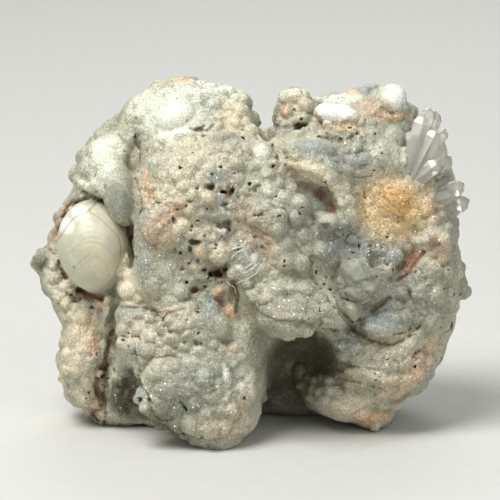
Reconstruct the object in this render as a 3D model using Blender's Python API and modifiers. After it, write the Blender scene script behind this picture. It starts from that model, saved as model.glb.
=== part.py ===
"""Chalcedony hand specimen: one grown mass of lumps, with two groups of clear quartz points.

Metres, +Z up, resting on Z = 0 with its bounding box centred on the origin. The front follows one
photograph. A place on it is a photo pixel with a depth, and photo_point turns the two into a point.
The back is hidden in the photograph and is made of seeded lumps like those of the front.
"""

import math
import random

import bmesh
import bpy
from mathutils import Matrix, Vector
from mathutils.bvhtree import BVHTree

# Driving dimensions, in millimetres
PIXEL = 0.16
AIM_HEIGHT = 28.0
VIEW_DISTANCE = 600.0
PHOTO_MIDDLE = 250
VIEW_ELEVATION = math.radians(12)
LUMP_VOXEL = 0.7
SURFACE_NOISE = 0.9
NOISE_GRAIN = 5.0
MASS_TRIANGLES = 8600
CLEARANCE = 0.3
FLOOR_CUT_DEPTH = 12.0
SPECIMEN_REACH = 60.0
MM = 0.001

# Lumps of the mass: photo x, photo y, depth (negative is nearer), half sizes across, deep and high, roll.
# A positive roll turns the lump clockwise in the photo.
BODY = (
    (252, 262, 3, 25, 17, 18, 0),
    (170, 250, 3, 16, 16, 18, 0),
    (352, 262, 4, 17, 15, 18, 0),
    (300, 180, 5, 16, 13, 9, 0),
    (215, 330, 3, 15, 13, 11, 0),
    (350, 345, 5, 15, 12, 9, 0),
    (298, 389, 9, 11, 9, 4.2, 0),
)

LOWER_LEFT = (
    (186, 372, -8, 12.8, 11.5, 11.0, 0),
    (220, 408, -12, 6.5, 7.5, 6.2, -20),
    (216, 438, -15, 4.2, 4.5, 2.2, 0),
    (236, 350, -9, 4.8, 8, 7.5, 0),
    (150, 345, -8, 7.5, 8.5, 7, -20),
    (150, 385, -6, 7, 8, 7, 35),
    (252, 385, -6, 2.6, 6, 5, 10),
    (128, 320, -7, 4.2, 6, 4, 0),
    (190, 322, -12, 6.5, 6, 4.5, 0),
)

LEFT_WEDGE = (
    (87, 350, 1, 4.2, 8.5, 8.5, 12),
    (88, 378, 2, 3.6, 8, 5, -25),
    (106, 404, 2, 3.2, 7, 3.6, -20),
    (88, 322, 0, 3.8, 6, 5.5, 20),
    (120, 400, 1, 5, 8, 4, 0),
)

LEFT_RIM = (
    (98, 250, 6, 7.6, 9, 10.4, 20),
    (63, 264, 4, 2.8, 6, 6.0, 26),
    (42, 262, 2, 1.7, 2.6, 2.0, 20),
    (55, 281, 0, 1.9, 3, 2.2, 0),
    (61, 297, -1, 2.0, 3, 2.4, -20),
    (70, 312, -1, 2.0, 3.4, 2.6, -20),
    (58, 240, 3, 1.4, 3, 2.2, 20),
    (65, 222, 3, 1.4, 3, 2.4, 20),
    (72, 206, 4, 1.6, 3.5, 2.4, 40),
    (82, 195, 5, 1.8, 4, 2.0, 40),
    (118, 285, -4, 3.2, 5, 4.2, 0),
)

UPPER_LEFT = (
    (103, 165, 3, 4.0, 8, 7.6, 28),
    (90, 178, 2, 2.6, 6, 4.4, 10),
    (118, 205, -4, 3.9, 6, 6.8, -14),
    (124, 150, 2, 4.0, 7, 5.6, 20),
)

TOP_LOBE = (
    (187, 142, 2, 9.9, 11.5, 9.6, 0),
    (150, 122, 2, 4.8, 8, 5.6, 35),
    (182, 94, 4, 5.2, 6, 2.6, 0),
    (220, 106, 3, 5.0, 7, 3.2, 20),
    (237, 119, 0, 2.5, 6, 4.0, -10),
    (251, 143, -1, 4.0, 7, 3.4, 0),
    (182, 126, -3, 6.0, 5, 5.0, 0),
)

CENTRE = (
    (182, 190, -8, 7.5, 7, 7.5, 0),
    (222, 160, -6, 6.5, 7, 5, 0),
    (232, 205, -8, 6, 7, 6, 0),
    (205, 238, -9, 5.5, 6, 4.5, 0),
    (165, 230, -11, 4.3, 5, 5.4, 10),
    (163, 275, -12, 4.2, 5, 5.8, -12),
    (190, 262, -11, 4.2, 4.5, 4.5, 0),
    (205, 288, -11, 3.6, 4, 2.6, 20),
    (134, 284, -8, 2.8, 4, 3.7, 0),
    (238, 247, -13, 1.9, 2.2, 2.2, 0),
    (253, 272, -11, 3.6, 4.2, 4.4, 30),
)

MIDDLE_RIGHT = (
    (270, 212, -9, 4.6, 6, 4.6, 0),
    (262, 182, -7, 4.6, 6, 3.6, 0),
    (290, 208, -10, 2.6, 4, 2.6, 0),
    (302, 236, -11, 2.0, 3, 2.2, 0),
    (303, 266, -11, 2.3, 3.2, 2.3, 0),
    (284, 250, -10, 3.4, 5, 4.2, 0),
    (276, 288, -11, 4.4, 5, 3.6, 0),
    (318, 250, -8, 3.2, 5, 3.4, 0),
    (287, 315, -13, 5.4, 7, 3.6, 0),
    (322, 315, -12, 4.2, 6, 3.8, 20),
    (300, 292, -10, 5.2, 6, 3.6, 20),
    (298, 155, -5, 5.0, 6, 3.0, 10),
    (262, 155, -6, 4.0, 5, 3.2, 0),
    (322, 168, -6, 3.6, 5, 2.6, 30),
    (340, 190, -6, 2.4, 5, 3.8, -25),
    (348, 212, -8, 1.8, 4, 2.8, -10),
)

TOP_RIGHT = (
    (345, 150, 3, 13.0, 10, 6.2, 0),
    (286, 122, 4, 2.6, 4, 3.8, 0),
    (299, 104, 4, 2.5, 3.2, 2.3, 0),
    (288, 108, 3, 2.2, 3, 2.8, 0),
    (303, 113, 1, 1.9, 2.2, 1.9, 0),
    (278, 119, 2, 1.6, 2.0, 1.9, 0),
    (290, 131, 1, 2.6, 3, 1.3, 10),
    (345, 112, 5, 6.0, 5, 3.0, -12),
    (368, 98, 6, 3.6, 4, 2.4, -10),
    (389, 101, 3, 2.7, 3.2, 2.6, 0),
    (372, 120, 2, 5.5, 5, 2.6, 10),
    (400, 124, 4, 3.2, 5, 3.2, 0),
    (310, 132, 4, 4.6, 5, 3.4, 0),
    (402, 150, 6, 5.0, 8, 5.0, 0),
    (424, 160, 8, 3.4, 6, 5.0, 20),
)

RIGHT = (
    (396, 208, -1, 7.4, 7.0, 6.8, 0),
    (430, 190, 6, 4.4, 8, 6.2, 0),
    (446, 228, 5, 2.2, 5, 3.6, 0),
    (425, 235, 1, 5.2, 9, 5.4, 0),
    (352, 235, -3, 7.0, 6, 6.0, 0),
    (370, 178, -1, 6.0, 6, 4.5, 0),
    (418, 285, 0, 6.2, 10, 9.0, 0),
    (446, 262, 3, 2.4, 7, 5.0, -12),
    (461, 286, 4, 1.4, 4, 2.0, 0),
    (442, 310, 4, 2.4, 8, 6.2, 6),
    (390, 265, -4, 5.0, 6, 4.5, 0),
)

LOWER_RIGHT = (
    (376, 361, -1, 10.4, 11, 7.0, -26),
    (345, 385, -3, 7.0, 9, 5.6, 0),
    (421, 342, 3, 4.2, 9, 4.4, -35),
    (398, 338, -4, 6.5, 7, 3.0, -14),
    (350, 340, -6, 4.0, 6, 3.4, 10),
    (318, 385, -6, 3.6, 6, 3.6, 0),
    (371, 408, -3, 4.4, 6, 3.2, 0),
    (375, 424, -3, 1.8, 3, 1.9, 0),
    (390, 383, 1, 4.6, 8, 3.2, -42),
)

# Hollows cut out of the mass, in the same terms.
HOLLOWS = (
    (303, 374, -17, 6.4, 16, 6.8, 0),
    (290, 400, -15, 4.4, 14, 5.0, 0),
    (300, 436, -12, 9.0, 11, 2.6, 0),
    (267, 118, 2, 2.0, 12, 4.4, 0),
    (322, 196, -14, 4.2, 6, 2.6, 38),
    (342, 238, -16, 5.6, 6, 4.2, 0),
    (95, 246, -8, 7.2, 8.5, 8.6, -8),
    (121, 240, -13, 1.6, 5, 4.6, -28),
    (74, 300, -10, 3.4, 7, 1.6, 36),
    (110, 350, -11, 1.5, 6, 9.0, 10),
    (128, 398, -15, 4.4, 7.5, 5.4, 30),
    (212, 188, -17, 1.3, 5, 1.3, 0),
    (234, 194, -17, 1.2, 5, 1.9, 0),
    (196, 241, -17, 1.7, 5, 1.1, 0),
    (218, 274, -17, 1.7, 5, 1.3, 40),
    (300, 130, -4, 1.6, 5, 1.1, -10),
    (404, 264, -11, 1.6, 6, 4.4, 32),
    (398, 333, -14, 6.5, 6, 1.1, -12),
    (328, 332, -17, 1.3, 6, 4.0, -40),
    (452, 326, -6, 0.9, 6, 2.6, 0),
    (140, 428, -14, 7.0, 10, 2.8, 18),
    (205, 147, -9, 2.0, 3, 0.9, 15),
)

# Lumps that stand in a hollow or against one, added after the cutting.
LATE_LUMPS = (
    (96, 246, -4.5, 5.9, 7.2, 7.3, -8),
    (124, 272, -6, 1.9, 4.0, 3.4, 0),
    (340, 121, -1, 3.5, 3.2, 2.7, 8),
    (356, 281, -9, 3.4, 5, 3.9, 40),
    (382, 319, -7, 4.6, 6, 3.0, 8),
    (344, 308, -9, 2.6, 5, 3.6, 40),
    (222, 178, -11, 1.6, 3, 1.9, 0),
    (207, 252, -14, 1.2, 2.0, 1.5, 0),
    (248, 388, -8, 2.0, 4, 3.6, 10),
    (328, 222, -11, 1.8, 3, 1.5, 0),
)

# Fields of small round lumps: photo x and y, half width and height, how many, smallest and largest radius.
BEAD_FIELDS = (
    (186, 205, 38, 48, 38, 1.3, 2.2),
    (232, 165, 34, 26, 18, 1.4, 2.3),
    (165, 332, 48, 28, 26, 1.3, 2.4),
    (282, 192, 34, 32, 20, 1.4, 2.4),
    (270, 268, 34, 34, 18, 1.5, 2.5),
    (428, 275, 24, 56, 20, 1.6, 3.0),
    (392, 375, 44, 30, 20, 1.6, 3.0),
    (200, 388, 50, 46, 24, 1.8, 3.4),
    (340, 158, 52, 20, 22, 1.3, 2.3),
    (186, 92, 50, 10, 16, 1.2, 1.9),
    (98, 160, 16, 34, 12, 1.4, 2.4),
    (84, 362, 18, 44, 16, 1.4, 2.6),
    (60, 290, 12, 24, 9, 1.3, 2.0),
    (300, 385, 30, 20, 10, 1.4, 2.4),
    (294, 312, 44, 18, 14, 1.4, 2.6),
)
BACK_BEADS = 110
BACK_BEAD_RADIUS = (1.3, 3.0)
BACK_BEAD_LIMITS = (28.0, 46.0)
BEAD_SINK = 0.45
BEAD_SEED = 11

# The hidden back: lumps on an ellipsoid, and the feet that it stands on, in millimetres.
BACK_MIDDLE = (0.0, 3.0, 29.0)
BACK_REACH = (26.5, 16.4, 19.5)
BACK_CORE_SHARE = 0.93
BACK_LUMP_SHARE = 0.86
BACK_LUMPS = 60
BACK_LUMP_RADIUS = (2.6, 6.2)
BACK_LUMP_STRETCH = (0.8, 1.3)
BACK_LUMP_ROLL = 40
BACK_SEED = 7
BACK_FEET = (
    (-11.0, 12.4, 7.9, 8.0, 7.2, 8.5),
    (13.0, 10.8, 9.0, 9.0, 7.8, 9.5),
)

# Quartz points: the photo pixels of root and tip with their depths, and the radius over the corners.
FAN_POINTS = (
    ((408, 176, -3), (431, 108, -1), 1.6),
    ((412, 174, -1), (437, 111, 1), 1.3),
    ((408, 172, -4), (424, 114, -4), 1.5),
    ((408, 170, -1), (415, 106, 3), 0.7),
    ((414, 178, -2), (446, 129, 1), 1.0),
    ((412, 178, -4), (437, 128, -4), 1.55),
    ((414, 182, -3), (445, 144, -1), 1.3),
    ((413, 183, -4), (440, 161, -5), 1.45),
    ((414, 184, -2), (452, 158, 1), 1.3),
    ((420, 195, -3), (451, 180, 1), 1.2),
    ((421, 200, -3), (465, 185, -1), 1.3),
    ((421, 204, -4), (456, 193, -3), 1.3),
    ((424, 208, -2), (470, 202, 0), 1.5),
    ((424, 210, -3), (460, 211, 1), 1.0),
)
STUB_POINTS = (
    ((438, 230, 1), (458, 219, 1), 1.2),
    ((438, 236, 1), (457, 233, 2), 1.3),
)
ROOT_TAPER = 0.9
# A blunt tip: its length and sideways shift by the radius, and the shoulder part of the way up it.
TIP_LENGTH = 0.95
TIP_OFFSET = 0.22
SHOULDER_RISE = 0.6
SHOULDER_INSET = 0.36


def sight_line(x, y):
    """The eye and the direction of sight through a photo pixel, in millimetres."""
    sine, cosine = math.sin(VIEW_ELEVATION), math.cos(VIEW_ELEVATION)
    ahead = Vector((0, cosine, -sine))
    up = Vector((0, sine, cosine))
    eye = Vector((0, 0, AIM_HEIGHT)) - ahead * VIEW_DISTANCE
    sight = ahead * VIEW_DISTANCE + up * (PHOTO_MIDDLE - y) * PIXEL
    sight.x = (x - PHOTO_MIDDLE) * PIXEL
    return eye, sight


def photo_point(x, y, depth):
    """The point in metres where the sight line through a photo pixel meets the plane Y = depth."""
    eye, sight = sight_line(x, y)
    return (eye + sight * ((depth - eye.y) / sight.y)) * MM


def clear_scene():
    for obj in list(bpy.data.objects):
        bpy.data.objects.remove(obj, do_unlink=True)


def new_collection(name):
    made = bpy.data.collections.new(name)
    bpy.context.scene.collection.children.link(made)
    return made


def new_object(name, filler, collection, material=None):
    """An object whose mesh is filled by filler(bm)."""
    bm = bmesh.new()
    filler(bm)
    mesh = bpy.data.meshes.new(name)
    bm.to_mesh(mesh)
    bm.free()
    if material:
        mesh.materials.append(material)
    obj = bpy.data.objects.new(name, mesh)
    collection.objects.link(obj)
    return obj


def helper(obj):
    """Marks a cutter, which isn't a piece of the specimen."""
    obj.hide_render = True
    obj.display_type = "WIRE"
    return obj


def principled(name, colour, roughness, ior=1.54, transmission=0.0):
    material = bpy.data.materials.new(name)
    material.use_nodes = True
    shader = material.node_tree.nodes["Principled BSDF"]
    shader.inputs["Base Color"].default_value = (*colour, 1)
    shader.inputs["Roughness"].default_value = roughness
    shader.inputs["Metallic"].default_value = 0
    shader.inputs["IOR"].default_value = ior
    shader.inputs["Transmission Weight"].default_value = transmission
    material.diffuse_color = (*colour, 1)
    return material


def add_lump(bm, centre, half_sizes, roll=0.0, subdivisions=4):
    """An ellipsoid round centre, in metres, with half sizes in millimetres."""
    place = Matrix.Translation(centre) @ Matrix.Rotation(math.radians(roll), 4, "Y")
    size = Matrix.Diagonal((*(half * MM for half in half_sizes), 1))
    bmesh.ops.create_icosphere(bm, subdivisions=subdivisions, radius=1, matrix=place @ size)


def add_photo_lumps(bm, rows):
    for x, y, depth, across, deep, high, roll in rows:
        add_lump(bm, photo_point(x, y, depth), (across, deep, high), roll)


def add_back(bm):
    """The hidden side: spread evenly over the rear half of an ellipsoid, with two feet below."""
    dice = random.Random(BACK_SEED)
    middle = Vector(BACK_MIDDLE) * MM
    add_lump(bm, middle, [reach * BACK_CORE_SHARE for reach in BACK_REACH])
    golden = math.pi * (3 - math.sqrt(5))
    for i in range(BACK_LUMPS):
        height = 1 - 2 * (i + 0.5) / BACK_LUMPS
        ring = math.sqrt(1 - height * height)
        way = Vector((ring * math.cos(golden * i), ring * math.sin(golden * i), height))
        if way.y < -0.1:
            continue
        spot = Vector([reach * part * BACK_LUMP_SHARE * MM for reach, part in zip(BACK_REACH, way)])
        radius = dice.uniform(*BACK_LUMP_RADIUS)
        stretch = dice.uniform(*BACK_LUMP_STRETCH)
        roll = dice.uniform(-BACK_LUMP_ROLL, BACK_LUMP_ROLL)
        add_lump(bm, middle + spot, (radius * stretch, radius, radius), roll)
    for x, y, z, across, deep, high in BACK_FEET:
        add_lump(bm, Vector((x, y, z)) * MM, (across, deep, high))


def fill_mass(bm):
    for rows in (BODY, LOWER_LEFT, LEFT_WEDGE, LEFT_RIM, UPPER_LEFT, TOP_LOBE):
        add_photo_lumps(bm, rows)
    for rows in (CENTRE, MIDDLE_RIGHT, TOP_RIGHT, RIGHT, LOWER_RIGHT):
        add_photo_lumps(bm, rows)
    add_back(bm)


def fill_hollows(bm):
    add_photo_lumps(bm, HOLLOWS)


def bead_filler(mass):
    """A filler for the late lumps and the bead fields, whose beads sit where sight lines meet the mass."""

    def fill(bm):
        bm.from_mesh(mass.data)
        tree = BVHTree.FromBMesh(bm)
        dice = random.Random(BEAD_SEED)
        golden = math.pi * (3 - math.sqrt(5))
        for x, y, wide, high, count, smallest, largest in BEAD_FIELDS:
            for i in range(count):
                reach = math.sqrt((i + 0.5) / count)
                turn = golden * i + dice.uniform(-0.3, 0.3)
                spot = (x + wide * reach * math.cos(turn), y + high * reach * math.sin(turn))
                eye, sight = sight_line(*spot)
                met, normal, _, _ = tree.ray_cast(eye * MM, sight)
                radius = dice.uniform(smallest, largest)
                if met:
                    add_lump(bm, met - normal * radius * BEAD_SINK * MM, (radius,) * 3, 0, 3)
        rear = [(face.calc_center_median(), face.normal.copy()) for face in bm.faces if face.normal.y > 0.3]
        sideways, top = BACK_BEAD_LIMITS
        rear = [row for row in rear if abs(row[0].x) < sideways * MM and row[0].z < top * MM]
        for spot, normal in dice.sample(rear, BACK_BEADS):
            radius = dice.uniform(*BACK_BEAD_RADIUS)
            add_lump(bm, spot - normal * radius * BEAD_SINK * MM, (radius,) * 3, 0, 3)
        add_photo_lumps(bm, LATE_LUMPS)

    return fill


def fill_floor(bm):
    """A block below Z = 0, which gives the mass the small flats that it stands on."""
    size = Matrix.Diagonal((2 * SPECIMEN_REACH * MM, 2 * SPECIMEN_REACH * MM, FLOOR_CUT_DEPTH * MM, 1))
    bmesh.ops.create_cube(bm, size=1, matrix=Matrix.Translation((0, 0, -FLOOR_CUT_DEPTH * MM / 2)) @ size)


def point_filler(root, tip, radius, extra=0.0):
    """A filler for one six-sided quartz point from root to tip, made larger all round by extra."""

    def fill(bm):
        start, end = photo_point(*root), photo_point(*tip)
        axis = (end - start).normalized()
        across = (radius + extra) * MM
        start = start - axis * extra * MM
        end = end + axis * extra * MM
        tip_length = across * TIP_LENGTH
        body = (end - start).length - tip_length
        turn = axis.to_track_quat("Z", "X").to_matrix().to_4x4()
        place = Matrix.Translation(start + axis * body / 2) @ turn
        bmesh.ops.create_cone(
            bm,
            cap_ends=True,
            segments=6,
            radius1=across * ROOT_TAPER,
            radius2=across,
            depth=body,
            matrix=place,
        )
        end_face = max(bm.faces, key=lambda face: face.calc_center_median().dot(axis))
        rise = tip_length * SHOULDER_RISE
        bmesh.ops.inset_individual(bm, faces=[end_face], thickness=across * SHOULDER_INSET, depth=rise)
        poked = bmesh.ops.poke(bm, faces=[end_face], offset=0)
        sideways = turn.col[0].to_3d() * across * TIP_OFFSET
        poked["verts"][0].co += axis * (tip_length - rise) + sideways

    return fill


def voxel_remesh(obj, size):
    remesh = obj.modifiers.new("merge lumps", "REMESH")
    remesh.mode = "VOXEL"
    remesh.voxel_size = size * MM


def boolean(obj, operation, other):
    modifier = obj.modifiers.new(f"{operation.lower()} {other.name}", "BOOLEAN")
    modifier.operation = operation
    modifier.object = other


def apply_modifiers(obj):
    """Replaces the object's mesh by its evaluated one."""
    graph = bpy.context.evaluated_depsgraph_get()
    mesh = bpy.data.meshes.new_from_object(obj.evaluated_get(graph))
    obj.modifiers.clear()
    obj.data = mesh


def keep_largest_piece(obj):
    """Deletes crumbs that the sockets cut off from the rest of the mesh."""
    bm = bmesh.new()
    bm.from_mesh(obj.data)
    left = set(bm.verts)
    pieces = []
    while left:
        front = [left.pop()]
        piece = list(front)
        while front:
            ends = {edge.other_vert(vert) for vert in front for edge in vert.link_edges}
            front = list(ends & left)
            left -= ends
            piece += front
        pieces.append(piece)
    crumbs = [vert for piece in sorted(pieces, key=len)[:-1] for vert in piece]
    bmesh.ops.delete(bm, geom=crumbs, context="VERTS")
    bm.to_mesh(obj.data)
    bm.free()


def build_points(name, points, parts, cutters, material):
    """One group of quartz points joined in one solid, and the cutters that clear a socket for it."""
    first = new_object(name, point_filler(*points[0]), parts, material)
    for i, point in enumerate(points[1:]):
        other = new_object(f"{name}_grown_{i}", point_filler(*point), cutters)
        boolean(first, "UNION", helper(other))
    sockets = []
    for i, point in enumerate(points):
        cutter = new_object(f"{name}_socket_{i}", point_filler(*point, CLEARANCE), cutters)
        sockets.append(helper(cutter))
    return sockets


def build_mass(parts, cutters, sockets, material):
    mass = new_object("chalcedony_mass", fill_mass, parts, material)
    voxel_remesh(mass, LUMP_VOXEL)
    hollows = helper(new_object("hollows", fill_hollows, cutters))
    voxel_remesh(hollows, LUMP_VOXEL)
    boolean(mass, "DIFFERENCE", hollows)
    apply_modifiers(mass)

    beaded = new_object("beaded", bead_filler(mass), cutters)
    mass.data = beaded.data
    bpy.data.objects.remove(beaded)
    voxel_remesh(mass, LUMP_VOXEL)
    grain = bpy.data.textures.new("grain", "CLOUDS")
    grain.noise_scale = NOISE_GRAIN * MM
    rough = mass.modifiers.new("uneven surface", "DISPLACE")
    rough.texture = grain
    rough.texture_coords = "LOCAL"
    rough.strength = SURFACE_NOISE * MM
    rough.mid_level = 0.5
    apply_modifiers(mass)

    decimate = mass.modifiers.new("fewer triangles", "DECIMATE")
    decimate.ratio = MASS_TRIANGLES / (2 * len(mass.data.polygons))
    for socket in sockets:
        boolean(mass, "DIFFERENCE", socket)
    boolean(mass, "DIFFERENCE", helper(new_object("floor", fill_floor, cutters)))
    apply_modifiers(mass)
    keep_largest_piece(mass)


def build():
    clear_scene()
    parts = new_collection("chalcedony")
    cutters = new_collection("cutters")
    stone = principled("pale grey green chalcedony", (0.60, 0.58, 0.49), 0.5)
    quartz = principled("clear quartz", (0.93, 0.93, 0.90), 0.08, transmission=1.0)
    sockets = []
    for name, points in (("quartz_fan", FAN_POINTS), ("quartz_stub", STUB_POINTS)):
        sockets += build_points(name, points, parts, cutters, quartz)
    build_mass(parts, cutters, sockets, stone)


build()
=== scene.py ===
# %% [markdown]
# # A chalcedony specimen, dressed for a photograph
# Chalcedony is fine-grained quartz that grows outwards in rounded lumps, so the real specimen is one
# grown mass: smooth domes, fields of small beads, sugary crusts of tiny crystals, a cave below, and a fan
# of clear quartz points at the upper right.
# The imported model gives the large forms. This lesson grows the fine relief over them, paints the
# minerals' colours as soft masks together with painted shade in creases, pits and the cave and painted
# glints on the sugary stone, and sets the small crystals on top.

# %% Load the imported model
import itertools
import math
import random

import bmesh
import bpy
import numpy as np
from mathutils import Matrix, Vector
from mathutils.bvhtree import BVHTree


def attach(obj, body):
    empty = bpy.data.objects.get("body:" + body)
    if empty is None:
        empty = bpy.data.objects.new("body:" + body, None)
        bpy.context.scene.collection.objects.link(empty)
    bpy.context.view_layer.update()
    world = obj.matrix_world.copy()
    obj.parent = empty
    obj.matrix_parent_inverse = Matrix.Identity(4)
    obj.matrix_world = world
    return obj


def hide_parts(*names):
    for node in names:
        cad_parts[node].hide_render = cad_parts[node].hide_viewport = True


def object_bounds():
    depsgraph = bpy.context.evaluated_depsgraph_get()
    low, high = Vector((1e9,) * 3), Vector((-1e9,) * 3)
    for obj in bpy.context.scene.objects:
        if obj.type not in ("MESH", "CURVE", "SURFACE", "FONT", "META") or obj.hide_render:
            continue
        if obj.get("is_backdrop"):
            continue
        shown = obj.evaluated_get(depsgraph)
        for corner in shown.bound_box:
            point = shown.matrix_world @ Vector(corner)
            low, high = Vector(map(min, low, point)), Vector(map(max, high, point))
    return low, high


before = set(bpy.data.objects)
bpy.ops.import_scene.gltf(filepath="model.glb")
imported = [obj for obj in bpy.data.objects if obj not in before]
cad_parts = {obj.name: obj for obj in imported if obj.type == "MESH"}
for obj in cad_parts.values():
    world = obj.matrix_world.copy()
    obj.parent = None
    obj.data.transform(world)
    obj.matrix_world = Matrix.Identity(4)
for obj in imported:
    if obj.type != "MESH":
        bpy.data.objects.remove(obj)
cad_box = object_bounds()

print("CAD nodes:", sorted(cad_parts))

# %% [markdown]
# ## The camera and the photograph's pixels
# The camera stands where the photograph was taken from: in front, 12 degrees above level, through a long
# lens. The same numbers turn a pixel of the 500 x 500 photograph into a line of sight, so a lump can be
# placed where the photograph shows it and still sit on the stone: the line is followed until it meets
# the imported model.

# %% Camera
MM = 0.001
PIXEL = 0.16 * MM
AIM_HEIGHT = 28 * MM
VIEW_DISTANCE = 600 * MM
PHOTO_MIDDLE = 250
PHOTO_SIDE = 500
VIEW_ELEVATION = math.radians(12)
SENSOR = 36

AHEAD = Vector((0, math.cos(VIEW_ELEVATION), -math.sin(VIEW_ELEVATION)))
UP = Vector((0, math.sin(VIEW_ELEVATION), math.cos(VIEW_ELEVATION)))
EYE = Vector((0, 0, AIM_HEIGHT)) - AHEAD * VIEW_DISTANCE

camera = bpy.data.objects.new("camera", bpy.data.cameras.new("camera"))
bpy.context.scene.collection.objects.link(camera)
camera.data.sensor_width = SENSOR
camera.data.lens = SENSOR * VIEW_DISTANCE / (PHOTO_SIDE * PIXEL)
camera.location = EYE
camera.rotation_euler = AHEAD.to_track_quat("-Z", "Y").to_euler()
bpy.context.scene.camera = camera
print("lens", round(camera.data.lens), "mm")

# %% From a photo pixel to the stone
def sight(x, y):
    """The unit direction of sight through a photo pixel."""
    way = AHEAD * VIEW_DISTANCE + UP * (PHOTO_MIDDLE - y) * PIXEL
    way.x = (x - PHOTO_MIDDLE) * PIXEL
    return way.normalized()


def merged_copy(node):
    """A CAD node's triangles joined into one closed bmesh, leaving the node alone."""
    bm = bmesh.new()
    bm.from_mesh(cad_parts[node].data)
    bmesh.ops.remove_doubles(bm, verts=bm.verts, dist=1e-6)
    return bm


rough_mass = merged_copy("chalcedony_mass")
stone_tree = BVHTree.FromBMesh(rough_mass)
EDGE_STEPS = np.linspace(0.56, 0.64, 33)  # metres from the eye, where a passing line is looked at


def on_stone(x, y, tree=stone_tree):
    """Where the line of sight through a pixel meets the stone, or passes nearest to it."""
    way = sight(x, y)
    met = tree.ray_cast(EYE, way)[0]
    if met:
        return met
    spots = [EYE + way * float(step) for step in EDGE_STEPS]
    return min(spots, key=lambda spot: tree.find_nearest(spot)[3])


middle = on_stone(PHOTO_MIDDLE, PHOTO_MIDDLE)
print("the middle of the photograph meets the stone at", [round(v / MM, 1) for v in middle], "mm")

# %% [markdown]
# ## Lumps
# Every rounded lump of the real stone is an ellipsoid partly sunk in what carries it. Many closed shells
# that overlap are turned into one skin later, by a voxel remesh, which leaves the sharp creases between
# lumps that chalcedony has. The tables follow the photograph.

# %% Tables of the lumps
# photo x and y, half width and half height in pixels, roll in degrees, share of its depth that stands out
CENTRE_LUMPS = (
    (140, 177, 5, 5, 0, .5), (143, 186, 5, 5, 0, .5), (146, 195, 5, 5, 0, .5), (149, 204, 6, 5, 0, .5),
    (155, 162, 6, 6, 0, .4), (164, 165, 6, 6, 0, .4), (158, 174, 5, 5, 0, .4), (165, 177, 7, 5, 20, .5),
    (168, 188, 6, 6, 0, .5), (176, 194, 6, 5, 20, .5), (180, 202, 8, 4.5, 8, .7), (160, 196, 5, 6, 0, .4),
    (179, 176, 9, 8, 0, .5), (188, 175, 6, 6, 0, .4), (195, 164, 10, 8, 0, .5), (202, 158, 8, 6, 0, .4),
    (184, 186, 9, 8, 0, .5), (192, 194, 8, 7, 0, .5), (198, 182, 7, 7, 0, .4), (209, 198, 9, 7, 0, .6),
    (202, 213, 8, 7, 0, .5), (216, 213, 10, 8, 0, .5), (189, 210, 7, 6, 0, .5), (195, 216, 6, 5, 0, .5),
    (183, 225, 8, 6, 10, .7), (190, 232, 7, 6, 0, .7), (197, 230, 8, 6, 0, .6), (201, 236, 6, 5, 0, .6),
    (212, 238, 7, 5, 0, .6), (200, 253, 7, 8.5, 0, 1.0), (219, 254, 11.5, 12, 0, .9),
    (223, 231, 8, 4.5, 0, .6), (214, 247, 4, 4, 0, 1.2), (221, 245, 4, 4, 0, 1.3),
    (227, 250, 4, 4, 0, 1.1), (219, 260, 4.5, 4, 0, 1.2), (212, 257, 4, 4, 0, 1.2),
    (225, 259, 4.5, 4, 0, 1.1), (176, 231, 6, 7, 0, .4), (171, 214, 6, 6, 0, .3), (183, 248, 8, 8, 0, .5),
    (186, 258, 7, 6, 0, .5), (176, 256, 7, 7, 0, .4), (195, 266, 12, 5, -18, .6),
    (198, 275, 11, 5, 12, .5), (188, 280, 10, 8, 0, .4), (178, 290, 12, 10, 0, .35),
    (166, 272, 9, 11, 0, .3), (160, 250, 10, 13, 0, .3), (152, 230, 8, 11, 0, .3),
    (164, 236, 8, 8, 0, .3), (170, 300, 10, 8, 0, .35), (150, 262, 8, 11, 0, .3),
    (156, 285, 8, 12, 0, .35), (238, 178, 9, 8, 0, .4), (246, 190, 8, 7, 0, .4), (240, 202, 6, 7, 0, .4),
    (250, 205, 7, 7, 0, .4), (242, 215, 6, 6, 0, .5), (252, 218, 6, 6, 0, .5), (259, 210, 6, 6, 0, .4),
    (246, 228, 6, 5, 0, .5), (256, 232, 7, 6, 0, .5), (266, 226, 6, 6, 0, .4), (240, 238, 6, 6, 0, .6),
    (250, 243, 6, 5, 0, .5), (261, 243, 6, 6, 0, .5), (270, 238, 6, 6, 0, .4), (230, 150, 10, 7, 10, .4),
    (216, 148, 9, 6, 0, .4), (205, 144, 8, 4, 15, .5), (222, 138, 9, 6, 0, .4), (236, 164, 9, 7, 0, .4),
    (226, 158, 7, 6, 0, .3), (246, 150, 8, 8, 0, .4), (210, 168, 6, 5, 0, .3),
)
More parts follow.
